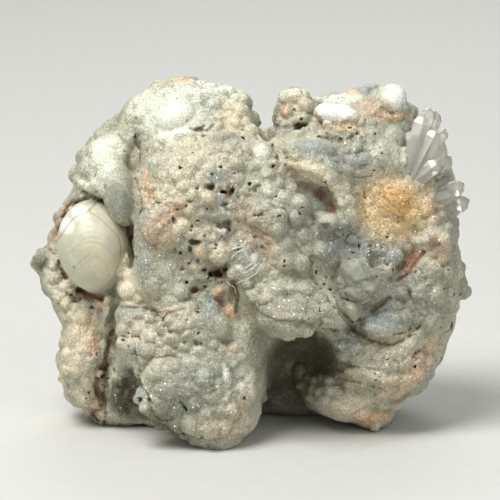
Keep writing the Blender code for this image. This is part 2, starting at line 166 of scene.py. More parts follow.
UPPER_LUMPS = (
    (131, 140, 6, 7, 20, .8), (125, 150, 7, 9, 20, .5), (118, 160, 9, 12, 25, .3),
    (120, 196, 17, 31, -12, .42), (113, 178, 17, 20, -4, .38), (106, 162, 17, 15, 12, .35),
    (125, 212, 12, 18, -14, .4), (128, 182, 8, 12, -10, .25), (136, 160, 7, 16, 5, .25),
    (128, 221, 8, 9, -20, .3), (110, 184, 7, 9, 0, .2), (100, 152, 13, 13, 25, .3),
    (88, 168, 9, 11, 20, .3), (84, 184, 7, 6, 0, .7), (90, 187, 6, 5, 0, .7), (79, 179, 6, 6, 0, .6),
    (95, 184, 5, 5, 0, .6), (102, 136, 9, 8, 40, .4), (112, 124, 6, 5, 30, .7),
    (176, 117, 22, 17, -25, .4), (148, 97, 7, 6, -30, .6), (139, 104, 6, 7, -40, .5),
    (131, 116, 6, 8, -30, .5), (157, 90, 8, 5, -20, .6), (141, 119, 9, 8, 0, .3),
    (153, 108, 9, 7, -30, .3), (166, 94, 10, 6, -10, .4), (175, 81, 5, 3.5, 0, .9),
    (184, 80, 5, 3.5, 10, .9), (193, 79, 5, 3, 0, .9), (180, 85, 8, 4, 0, .6), (200, 86, 8, 5, 10, .5),
    (212, 88, 7, 5, 10, .5), (206, 95, 9, 6, 0, .4), (190, 92, 8, 5, 0, .4), (222, 92, 7, 5, 20, .5),
    (231, 92, 6, 5, 20, .6), (212, 106, 9, 8, 0, .3), (218, 118, 8, 8, 0, .3), (236, 98, 6, 5, 0, .8),
    (243, 101, 5, 6, 30, .8), (233, 107, 7, 8, -20, .6), (240, 112, 7, 9, -20, .5),
    (226, 118, 7, 6, -40, .5), (216, 128, 8, 5, -35, .5), (234, 126, 8, 9, 0, .4),
    (245, 124, 6, 9, -10, .4), (252, 133, 7, 9, -20, .4), (258, 122, 3, 4, -20, .8),
    (228, 137, 9, 6, 0, .3), (188, 134, 16, 6, 5, .3), (170, 140, 14, 8, 0, .3), (176, 150, 12, 8, 0, .3),
    (160, 148, 8, 8, 0, .3), (190, 147, 10, 5, 0, .4),
)
TOP_RIGHT_LUMPS = (
    (295, 97, 13, 9, 0, .7), (285, 98, 7, 8, 0, .7), (303, 96, 7, 7, 0, .7), (306, 106, 7.5, 7.5, 0, 1.0),
    (286, 113, 6, 6, 0, 1.1), (278, 111, 5, 6, 0, .8), (276, 119, 5, 6, 0, .8), (282, 121, 6, 5, 0, .7),
    (296, 120, 8, 4, -10, 1.0), (288, 125, 6, 4, 10, .9), (304, 118, 6, 5, 0, .9),
    (273, 131, 5.5, 5, 0, .9), (284, 136, 9, 5, 10, .8), (296, 135, 9, 4.5, -15, .9),
    (304, 133, 5, 6, 0, .6), (313, 131, 7, 8, 0, .3), (318, 100, 5, 3.5, 0, .8), (326, 98, 5, 3.5, 0, .8),
    (334, 96, 6, 4, 0, .8), (341, 98, 5, 3.5, 0, .8), (352, 94, 6, 4.5, -20, .6),
    (365, 92, 8, 6, -20, .6), (373, 88, 6, 5, 0, .8), (360, 100, 8, 5, 0, .5), (352, 103, 8, 5, 0, .4),
    (334, 113, 20, 10.5, 4, .6), (345, 116, 14, 9, 8, .5), (326, 112, 11, 8, 0, .5),
    (330, 126, 8, 5, 25, .6), (340, 131, 8, 5, 10, .7), (350, 131, 8, 5, -15, .7),
    (358, 124, 7, 5, -40, .6), (365, 117, 7, 5, 0, .4), (376, 110, 6, 8, 0, .4),
    (392, 98, 14.5, 14, 0, .7), (383, 98, 8, 11, 0, .6), (384, 118, 9, 6, 10, .5),
    (396, 117, 9, 6, -20, .5), (404, 110, 6, 8, 0, .4), (372, 124, 7, 6, 0, .3),
    (262, 154, 11, 11, 0, .5), (279, 147, 11, 7, 35, .5), (270, 163, 8, 6, 0, .4),
    (284, 160, 7, 6, 0, .4), (296, 155, 8, 6, 0, .3), (254, 166, 9, 7, 0, .3), (266, 175, 8, 7, 0, .4),
    (278, 172, 8, 6, 0, .4), (292, 150, 9, 6, 10, .3), (315, 148, 22, 8, 8, .3), (332, 146, 10, 6, 0, .3),
    (345, 144, 8, 5, 0, .5), (355, 148, 8, 5, -30, .5), (362, 140, 7, 7, -30, .5),
    (370, 144, 6, 8, 0, .4), (352, 161, 11, 6, 0, .4), (340, 156, 8, 5, 20, .4), (362, 158, 8, 6, 0, .4),
    (345, 168, 9, 5, 20, .4), (356, 171, 8, 5, 20, .4), (392, 140, 14, 16, 10, .2),
    (408, 146, 12, 16, 20, .25), (380, 155, 10, 9, 0, .25), (374, 134, 8, 7, 0, .3),
)
RIDGE_LUMPS = (
    (286, 163, 9, 5, 10, .5), (297, 165, 9, 5, 20, .6), (308, 168, 9, 5.5, 25, .7),
    (318, 172, 9, 5.5, 32, .8), (326, 178, 8, 5.5, 42, .8), (333, 186, 8, 5, 50, .8),
    (338, 195, 8, 5, 62, .8), (342, 204, 7, 4.5, 75, .8), (347, 190, 8, 6, 60, .4),
    (350, 202, 7, 6, 70, .4), (330, 166, 8, 5, 40, .4), (356, 190, 8, 6, 40, .3),
    (268, 191, 11, 10, 0, .5), (257, 185, 8, 7, 0, .4), (284, 199, 9, 9, 0, .5), (277, 184, 7, 6, 0, .4),
    (290, 188, 8, 6, 0, .4), (297, 203, 9, 7, 0, .6), (294, 217, 9.5, 9.5, 0, .6),
    (280, 214, 9, 8, 0, .4), (302, 234, 7.5, 8, 0, .7), (290, 232, 8, 7, 0, .4), (306, 222, 6, 6, 0, .5),
    (315, 231, 6, 7, 0, .5), (318, 250, 11, 10, 0, .6), (307, 249, 7, 8, 0, .5),
    (300, 262, 10, 11, 0, .5), (302, 271, 8, 7, 0, .4), (286, 245, 9, 10, 0, .4), (276, 228, 9, 8, 0, .3),
    (285, 262, 9, 9, 0, .3), (278, 251, 8, 8, 0, .3), (330, 245, 8, 8, 0, .3), (345, 236, 10, 9, 0, .25),
    (340, 222, 8, 7, 0, .35), (360, 232, 10, 9, 0, .25), (372, 240, 9, 8, 0, .3), (330, 260, 9, 9, 0, .3),
    (262, 270, 9, 8, 0, .4), (262, 288, 8, 6, 0, .6), (273, 277, 7, 6, 20, .5), (247, 283, 6, 5, 0, .6),
    (252, 292, 7, 5, 0, .6), (232, 274, 5, 6, 0, .6), (240, 268, 7, 6, 0, .4), (252, 258, 9, 7, 0, .3),
    (243, 250, 7, 5, 0, .4), (278, 288, 11, 8, 0, .4), (292, 290, 10, 8, 0, .4),
    (306, 291, 11, 8, 15, .5), (319, 300, 9, 8, 25, .5), (326, 310, 8, 7, 30, .5),
    (268, 300, 9, 7, 10, .5), (282, 306, 11, 7, 10, .4), (298, 309, 11, 7, 10, .4),
    (312, 318, 9, 6, 20, .5), (258, 296, 7, 6, 10, .5), (272, 312, 7, 4, 10, .5), (290, 316, 8, 4, 5, .5),
    (326, 322, 8, 5, 10, .5), (332, 328, 7, 5, 0, .6), (322, 334, 6, 4, 0, .5), (340, 334, 6, 4, 0, .5),
)
RIGHT_LUMPS = (
    (393, 202, 26, 24, 0, .25), (375, 192, 12, 12, 0, .25), (372, 214, 12, 13, 0, .25),
    (408, 190, 12, 12, 0, .25), (410, 214, 12, 12, 0, .3), (392, 226, 12, 9, 0, .3),
    (368, 205, 9, 10, 0, .4), (396, 184, 11, 8, 0, .3), (426, 206, 8, 10, 0, .4), (430, 192, 7, 8, 0, .4),
    (420, 224, 9, 8, 0, .4), (432, 222, 8, 8, 0, .4), (438, 206, 7, 7, 0, .5), (444, 196, 6, 6, 0, .5),
    (440, 216, 7, 6, 0, .5), (431, 240, 8, 7, 0, .4), (444, 240, 7, 8, 0, .5), (452, 252, 6, 9, 0, .5),
    (449, 228, 5, 6, 0, .5), (418, 240, 8, 6, 0, .3), (440, 256, 9, 10, 0, .3),
    (432, 272, 10, 12, 15, .3), (446, 276, 9, 12, 0, .4), (456, 268, 5, 9, 0, .5),
    (420, 292, 10, 14, 15, .3), (436, 296, 10, 13, 10, .3), (449, 298, 7, 12, 0, .4),
    (444, 318, 8, 12, 5, .4), (430, 322, 10, 12, 15, .3), (402, 292, 8, 8, 30, .5),
    (410, 304, 9, 9, 0, .3), (396, 306, 12, 8, -20, .4), (392, 256, 12, 9, 0, .3),
    (404, 246, 10, 8, 0, .3), (380, 250, 9, 8, 0, .3), (386, 268, 9, 9, 0, .3), (396, 276, 9, 8, 0, .3),
    (356, 276, 18, 18, 0, .35), (348, 266, 10, 10, 0, .5), (362, 266, 10, 9, 0, .5),
    (357, 291, 15, 10, 0, .5), (344, 284, 8, 10, 0, .4), (372, 284, 8, 9, 0, .4),
    (350, 310, 12, 12, 25, .3), (362, 312, 12, 9, -10, .3), (378, 329, 17, 9, 8, .6),
    (390, 317, 12, 6, 10, .5), (370, 320, 8, 7, 0, .4), (404, 318, 12, 9, -30, .3),
    (416, 334, 12, 9, -35, .4), (406, 345, 10, 7, -20, .4), (428, 345, 10, 9, -40, .4),
    (440, 340, 7, 10, 10, .4), (392, 352, 14, 8, 0, .3), (372, 350, 14, 8, 5, .3),
    (354, 346, 10, 7, 15, .4), (342, 344, 8, 6, 10, .5), (346, 356, 10, 6, 10, .4),
    (360, 360, 12, 6, 8, .3), (384, 366, 14, 7, 0, .3), (402, 364, 11, 7, -20, .4),
    (416, 360, 9, 8, -35, .4), (374, 376, 10, 7, 5, .4), (390, 380, 10, 7, -15, .4),
    (356, 374, 12, 5, 15, .4), (352, 386, 12, 5, 15, .35), (366, 392, 12, 5, 5, .35),
    (382, 394, 9, 5, -15, .4), (404, 380, 9, 7, -35, .4), (418, 374, 7, 7, -45, .4),
    (430, 362, 7, 8, -40, .4), (396, 394, 8, 6, -35, .4), (300, 372, 7, 10, 0, .7),
    (300, 386, 4.5, 4, 0, .9), (308, 378, 5, 5, 0, .8), (314, 380, 5, 4.5, 0, .9),
    (322, 378, 5, 4.5, 0, .9), (329, 380, 5.5, 5, 0, .9), (312, 389, 5, 4.5, 0, .8),
    (320, 392, 6, 5, 0, .8), (330, 390, 6, 6, 0, .8), (325, 400, 7, 6, 0, .5), (336, 402, 8, 7, 0, .4),
    (312, 398, 7, 5, 0, .5), (346, 408, 9, 7, 10, .3), (360, 412, 11, 8, 10, .3), (374, 414, 9, 9, 0, .3),
    (375, 426, 6, 6, 0, .4), (384, 404, 8, 6, -20, .4), (461, 283, 6, 8, 0, .6), (459, 274, 4, 5, 0, .6),
    (452, 312, 5, 8, 0, .4),
)
LEFT_LUMPS = (
    (41, 261, 9, 9, 0, .5), (36, 258, 4, 4, 0, .8), (43, 254, 4, 4, 0, .8), (45, 263, 4, 4, 0, .8),
    (38, 267, 4, 4, 0, .8), (46, 271, 4, 4, 0, .7), (54, 265, 5, 5, 0, 1.0), (48, 258, 4, 4, 0, .8),
    (55, 278, 8, 6, -10, .8), (65, 286, 7.5, 6.5, -10, .9), (69, 293, 8, 7, -20, .8),
    (76, 308, 6, 5.5, 0, .9), (58, 298, 6, 8, -20, .5), (66, 304, 6, 7, -20, .5), (72, 316, 6, 6, 0, .5),
    (64, 318, 5, 8, -20, .5), (52, 290, 5, 7, -20, .4), (57, 240, 4, 5, 20, .8), (55, 232, 4, 4, 20, .8),
    (60, 224, 4, 5, 20, .8), (58, 216, 4, 4, 20, .8), (64, 209, 4, 5, 40, .8), (70, 203, 4, 4, 40, .8),
    (76, 198, 5, 4, 40, .8), (83, 195, 5, 4, 20, .7), (52, 246, 4, 4, 0, .8), (56, 250, 4, 5, 10, .7),
    (62, 216, 4, 5, 30, .7), (88, 304, 10, 7, -20, .5), (100, 302, 7, 7, -30, .5),
    (84, 318, 9, 10, 10, .35), (96, 322, 7, 11, 12, .4), (76, 338, 8, 12, 18, .3),
    (90, 342, 7, 12, 5, .3), (68, 356, 8, 10, 10, .3), (80, 362, 7, 11, -10, .3),
    (66, 372, 6, 9, -10, .4), (74, 382, 6, 11, -30, .35), (86, 380, 6, 12, -22, .4),
    (84, 398, 7, 9, -30, .35), (94, 400, 6, 10, -25, .4), (92, 412, 7, 6, -20, .4),
    (104, 414, 9, 6, 0, .3), (118, 412, 10, 8, 0, .3), (106, 326, 6, 8, 10, .4), (110, 338, 5, 8, 20, .5),
    (104, 346, 4, 7, 10, .6), (112, 322, 5, 5, 0, .5), (100, 374, 4.5, 4.5, 0, 1.0),
    (100, 398, 4, 8, -10, .6), (101, 388, 4, 5, 0, .6), (108, 300, 6, 6, 0, .5), (130, 278, 8, 10, 0, .4),
    (131, 291, 13, 11, 0, .4), (122, 288, 6, 9, 10, .4), (140, 298, 8, 7, 0, .4),
    (125, 262, 5, 9, 10, .4), (130, 320, 10, 8, 0, .5), (141, 315, 9, 7, 0, .5), (123, 330, 8, 8, 0, .5),
    (141, 329, 9, 8, 0, .5), (152, 336, 10, 8, 0, .5), (132, 345, 11, 8, 0, .5), (122, 343, 6, 6, 0, .5),
    (150, 350, 9, 8, 0, .4), (144, 360, 8, 7, 0, .4), (152, 318, 9, 8, 0, .4), (163, 326, 8, 7, 0, .5),
    (172, 320, 7, 6, 0, .5), (180, 326, 8, 7, 0, .5), (192, 322, 7, 6, 0, .5), (190, 308, 8, 7, 0, .5),
    (173, 337, 8, 7, 0, .5), (184, 345, 9, 8, 0, .4), (198, 350, 9, 7, 0, .4), (201, 336, 9, 8, 0, .4),
    (170, 350, 8, 7, 0, .4), (212, 343, 9, 8, 0, .35), (186, 334, 7, 6, 0, .5), (162, 342, 7, 6, 0, .4),
    (203, 300, 8, 7, 0, .4), (211, 312, 10, 12, 0, .3), (220, 327, 9, 12, 0, .3), (196, 296, 6, 5, 0, .5),
    (219, 291, 5, 7, 0, .8), (226, 300, 5, 6, 0, .8), (229, 310, 6, 7, 0, .8), (232, 316, 5, 5, 0, .7),
    (214, 294, 5, 5, 0, .6), (224, 290, 4, 5, 0, .6),
)
LOWER_LEFT_LUMPS = (
    (160, 372, 12, 10, 0, .3), (176, 366, 12, 9, 0, .3), (192, 366, 10, 9, 0, .3),
    (168, 388, 13, 11, 0, .3), (186, 386, 12, 11, 0, .3), (204, 378, 11, 11, 0, .35),
    (160, 402, 9, 9, 0, .35), (176, 406, 12, 10, 0, .3), (194, 402, 11, 10, 0, .3),
    (210, 396, 9, 9, 0, .3), (176, 422, 10, 7, 0, .4), (192, 422, 11, 9, 0, .35), (206, 414, 9, 8, 0, .3),
    (220, 410, 10, 10, 0, .3), (210, 428, 10, 7, 0, .4), (222, 424, 8, 8, 0, .4),
    (218, 388, 9, 11, 0, .4), (224, 398, 8, 9, 0, .4), (226, 378, 7, 13, -5, .5),
    (216, 368, 9, 10, 0, .35), (221, 352, 8, 10, 0, .35), (231, 410, 9, 9, 0, .4),
    (238, 420, 8, 8, 0, .5), (234, 430, 7, 6, 0, .5), (246, 420, 5, 6, 0, .6), (243, 430, 5, 5, 0, .6),
    (205, 440, 9, 5, 0, .5), (216, 442, 8, 5, 0, .5), (188, 436, 9, 4, 10, .5), (174, 434, 9, 4, 15, .5),
    (162, 428, 8, 4, 20, .5), (150, 422, 8, 4, 20, .5), (226, 438, 7, 5, -10, .5),
    (197, 441, 7, 4, 5, .5), (234.5, 365, 4.5, 4.5, 0, 1.0), (246, 376, 11, 15, 0, .35),
    (240, 390, 7, 11, 10, .35), (250, 392, 7, 10, 0, .35), (234, 349, 9, 8, 0, .4),
    (240, 358, 7, 6, 0, .4), (127, 371, 7, 6, 0, .6), (135, 384, 6, 6, 0, .5), (118, 378, 7, 6, 0, .5),
    (139, 399, 5, 5, 0, .8), (128, 392, 7, 7, 0, .5), (118, 392, 6, 7, 0, .5), (146, 408, 7, 6, 0, .5),
    (134, 408, 8, 6, 0, .5), (158, 422, 8, 5, 20, .4), (122, 404, 6, 6, 0, .4), (112, 384, 5, 6, 0, .5),
    (140, 370, 6, 8, 0, .4),
)
ALL_LUMPS = CENTRE_LUMPS + UPPER_LUMPS + TOP_RIGHT_LUMPS + RIDGE_LUMPS
ALL_LUMPS += RIGHT_LUMPS + LEFT_LUMPS + LOWER_LEFT_LUMPS
print(len(ALL_LUMPS), "lumps follow the photograph")

LUMP_DEEP = 1.15  # a lump's half depth, over the smaller of its half width and half height

# %% Fields of small beads
# photo x and y, half width and height, how many, and the smallest and largest radius, all in pixels
BEAD_FIELDS = (
    (160, 185, 26, 30, 110, 1.8, 3.6), (195, 175, 34, 26, 110, 1.8, 3.8),
    (195, 222, 34, 24, 100, 1.8, 3.8), (248, 215, 24, 32, 130, 1.6, 3.2),
    (256, 260, 26, 26, 90, 1.6, 3.0), (162, 260, 24, 48, 60, 1.6, 3.2), (170, 332, 44, 22, 110, 1.8, 3.8),
    (232, 138, 34, 34, 90, 1.6, 3.4), (185, 92, 52, 12, 90, 1.6, 3.0), (145, 112, 20, 20, 50, 1.6, 3.2),
    (95, 165, 14, 22, 50, 1.4, 2.8), (276, 160, 30, 22, 50, 1.6, 3.2), (350, 152, 40, 22, 90, 1.6, 3.4),
    (290, 118, 20, 20, 40, 1.6, 3.0), (350, 124, 46, 12, 80, 1.5, 2.8), (290, 205, 36, 32, 70, 1.8, 3.4),
    (300, 300, 42, 22, 90, 1.6, 3.2), (395, 205, 36, 36, 90, 1.6, 3.0), (430, 250, 22, 40, 80, 1.6, 3.2),
    (425, 330, 26, 40, 90, 1.8, 3.6), (385, 370, 46, 26, 120, 1.8, 3.6), (350, 395, 40, 22, 50, 1.6, 3.2),
    (185, 400, 46, 40, 130, 1.6, 3.2), (225, 395, 26, 40, 60, 1.6, 3.2), (205, 432, 44, 12, 60, 1.8, 3.4),
    (128, 390, 22, 26, 60, 1.8, 3.6), (85, 350, 20, 50, 80, 1.6, 3.2), (100, 390, 10, 36, 50, 1.6, 3.0),
    (58, 275, 16, 34, 50, 1.6, 3.2), (64, 222, 10, 30, 40, 1.6, 3.0), (222, 305, 14, 20, 40, 1.6, 3.0),
    (120, 205, 16, 22, 30, 1.4, 2.6), (358, 276, 22, 22, 40, 1.6, 2.8),
)
HIDDEN_BEADS = 1300
HIDDEN_FLOOR_MM = 3  # no hidden bead is set lower than this
HIDDEN_RADIUS_MM = (0.35, 1.6)
FOOT_TRIES = 9000  # random places on a quartz node, of which those round its feet get a bead
FOOT_REACH_MM = 0.5
FOOT_SPACING_MM = 0.4
FOOT_RADIUS_MM = (0.2, 0.4)
BEAD_SEED = 23
GOLDEN_TURN = math.pi * (3 - math.sqrt(5))

# %% Build the shells
def evaluated_mesh(obj):
    graph = bpy.context.evaluated_depsgraph_get()
    return bpy.data.meshes.new_from_object(obj.evaluated_get(graph))


def read_points(mesh, what="co"):
    found = np.empty(len(mesh.vertices) * 3, np.float32)
    mesh.vertices.foreach_get(what, found)
    return found.reshape(-1, 3).astype(np.float64)


def unit_ball(subdivisions):
    """Points and triangles of a ball of radius 1."""
    bm = bmesh.new()
    bmesh.ops.create_icosphere(bm, subdivisions=subdivisions, radius=1)
    points = np.array([vert.co for vert in bm.verts])
    faces = np.array([[vert.index for vert in face.verts] for face in bm.faces])
    bm.free()
    return points, faces


BALLS = {level: unit_ball(level) for level in (2, 3, 4)}


class Shells:
    """Closed shells collected as arrays, so that hundreds of them are quick to join."""

    def __init__(self):
        self.points, self.faces, self.count = [], [], 0

    def add(self, points, faces):
        self.points.append(points)
        self.faces.append(faces + self.count)
        self.count += len(points)

    def add_ball(self, centre, half_sizes, roll=0.0, level=3):
        points, faces = BALLS[level]
        turn = np.array(Matrix.Rotation(math.radians(roll), 3, "Y"))
        self.add(points * np.array(half_sizes) @ turn.T + np.array(centre), faces)

    def mesh(self, name):
        made = bpy.data.meshes.new(name)
        points, faces = np.concatenate(self.points), np.concatenate(self.faces)
        made.from_pydata(points.tolist(), [], faces.tolist())
        return made


def add_lump(shells, x, y, across, high, roll, stand_out):
    """An ellipsoid seen at a pixel, which stands out of the stone by a share of its depth."""
    deep = min(across, high) * LUMP_DEEP * PIXEL
    centre = on_stone(x, y) + sight(x, y) * deep * (1 - stand_out)
    level = 4 if max(across, high) > 12 else 3
    shells.add_ball(centre, (across * PIXEL, deep, high * PIXEL), roll, level)


def add_bead_field(shells, dice, x, y, wide, high, count, smallest, largest):
    for i in range(count):
        reach, turn = math.sqrt((i + 0.5) / count), GOLDEN_TURN * i + dice.uniform(-0.4, 0.4)
        spot = x + wide * reach * math.cos(turn), y + high * reach * math.sin(turn)
        radius = dice.uniform(smallest, largest) * PIXEL
        met, normal, _, _ = stone_tree.ray_cast(EYE, sight(*spot))
        if met:
            shells.add_ball(met - normal * radius * dice.uniform(0.3, 0.8), (radius,) * 3, 0, 2)


def random_spots(dice, faces, count):
    """Places spread evenly over the triangles, each with the face that it lies on."""
    weights = [face.calc_area() for face in faces]
    for face in dice.choices(faces, weights, k=count):
        corners = [vert.co for vert in face.verts]
        a, b = sorted((dice.random(), dice.random()))
        yield corners[0] * a + corners[1] * (b - a) + corners[2] * (1 - b), face


def add_hidden_beads(shells, dice):
    """Beads in loose groups on the faces that the photograph doesn't show."""
    rear = [
        face for face in rough_mass.faces
        if face.normal.dot(AHEAD) > -0.1 and face.calc_center_median().z > HIDDEN_FLOOR_MM * MM
    ]
    for spot, face in random_spots(dice, rear, HIDDEN_BEADS):
        grouped = math.sin(spot.x * 330) + math.sin(spot.z * 290 + 1) + math.sin(spot.y * 310 + 2)
        if grouped > -0.5:
            radius = dice.uniform(*HIDDEN_RADIUS_MM) ** 1.3 * MM
            shells.add_ball(spot - face.normal * radius * dice.uniform(0.35, 0.8), (radius,) * 3, 0, 3)


def add_foot_beads(shells, dice, node):
    """Small beads round the foot of each quartz point, where it grows out of the stone."""
    points_mesh = merged_copy(node)
    kept = []
    for spot, face in random_spots(dice, list(points_mesh.faces), FOOT_TRIES):
        met, _, _, away = stone_tree.find_nearest(spot)
        buried = stone_tree.ray_cast(spot, face.normal, FOOT_REACH_MM * 1.6 * MM)[0]
        crowded = any((spot - other).length < FOOT_SPACING_MM * MM for other in kept)
        if buried is None and away < FOOT_REACH_MM * MM and not crowded:
            kept.append(spot)
            radius = away / 2 + dice.uniform(*FOOT_RADIUS_MM) * MM
            shells.add_ball((spot + met) / 2, (radius,) * 3, 0, 2)
    points_mesh.free()
    print(node, "stands in", len(kept), "beads")


def smooth_stone():
    """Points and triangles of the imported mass, its flat facets rounded by two levels of subdivision."""
    mesh = bpy.data.meshes.new("rounded")
    rough_mass.to_mesh(mesh)
    obj = bpy.data.objects.new("rounded", mesh)
    bpy.context.scene.collection.objects.link(obj)
    rounding = obj.modifiers.new("rounding", "SUBSURF")
    rounding.levels = 2
    rounding.render_levels = 2
    made = evaluated_mesh(obj)
    bpy.data.objects.remove(obj)
    made.calc_loop_triangles()
    faces = np.empty(len(made.loop_triangles) * 3, np.int32)
    made.loop_triangles.foreach_get("vertices", faces)
    return read_points(made), faces.reshape(-1, 3)


shells = Shells()
shells.add(*smooth_stone())
for row in ALL_LUMPS:
    add_lump(shells, *row)
dice = random.Random(BEAD_SEED)
for row in BEAD_FIELDS:
    add_bead_field(shells, dice, *row)
add_hidden_beads(shells, dice)
for name in ("quartz_fan", "quartz_stub"):
    add_foot_beads(shells, dice, name)
print(len(shells.points), "shells with", shells.count, "points")

# %% [markdown]
# ## One skin
# The voxel remesh turns the overlapping shells into one closed skin of even, small faces, which can then
# be pushed in and out point by point. A light smoothing takes away the voxels' steps.

# %% Remesh
VOXEL = 0.22 * MM

skin = bpy.data.objects.new("grown_mass", shells.mesh("grown_mass"))
bpy.context.scene.collection.objects.link(skin)
joining = skin.modifiers.new("join the lumps", "REMESH")
joining.mode = "VOXEL"
joining.voxel_size = VOXEL
easing = skin.modifiers.new("ease the steps", "SMOOTH")
easing.factor = 0.5
easing.iterations = 1
skin_mesh = evaluated_mesh(skin)
skin.modifiers.clear()
skin.data = skin_mesh
print("skin:", len(skin_mesh.vertices), "points")

# %% [markdown]
# ## Noise made of numbers
# Two kinds of pattern serve both the relief and the colours: soft clouds, and cells round scattered
# seeds, whose domes are what a crust of tiny rounded grains looks like. Both come from whole-number
# hashing, so they are the same on every run.

# %% Clouds and cells
def dice_at(cells, seed):
    """A number from 0 to 1 for each whole-number cell."""
    x, y, z = (cells[:, k] for k in range(3))
    n = (x * 73856093) ^ (y * 19349663) ^ (z * 83492791) ^ (seed * 2654435761)
    n &= 0xFFFFFFFF
    for _ in range(2):
        n = ((n ^ (n >> 16)) * 0x45D9F3B) & 0xFFFFFFFF
    return ((n ^ (n >> 16)) & 0xFFFFFF) / 0x1000000


def clouds(points, size, seed):
    """Soft noise from 0 to 1 whose spots are about size millimetres wide."""
    spread = points / (size * MM)
    base = np.floor(spread).astype(np.int64)
    part = spread - base
    part = part * part * (3 - 2 * part)
    total = np.zeros(len(points))
    for corner in itertools.product((0, 1), repeat=3):
        weight = np.prod(np.where(corner, part, 1 - part), axis=1)
        total += weight * dice_at(base + corner, seed)
    return total


def layered_clouds(points, size, seed, layers=3):
    total = sum(clouds(points, size / 2 ** k, seed + k) / 2 ** k for k in range(layers))
    return total / (2 - 0.5 ** (layers - 1))


def domes(points, size, seed):
    """Heights from 0 to 1 of rounded grains about size millimetres wide."""
    spread = points / (size * MM)
    base = np.floor(spread).astype(np.int64)
    nearest = np.full(len(points), 9.0)
    for step in itertools.product((-1, 0, 1), repeat=3):
        cell = base + step
        spot = cell + np.stack([dice_at(cell, seed + k) for k in range(3)], axis=1)
        nearest = np.minimum(nearest, np.linalg.norm(spread - spot, axis=1))
    return np.sqrt(np.clip(1 - (nearest / 0.85) ** 2, 0, 1))


def fade(value, low, high):
    """0 below low, 1 above high, and a smooth step between."""
    part = np.clip((value - low) / (high - low), 0, 1)
    return part * part * (3 - 2 * part)
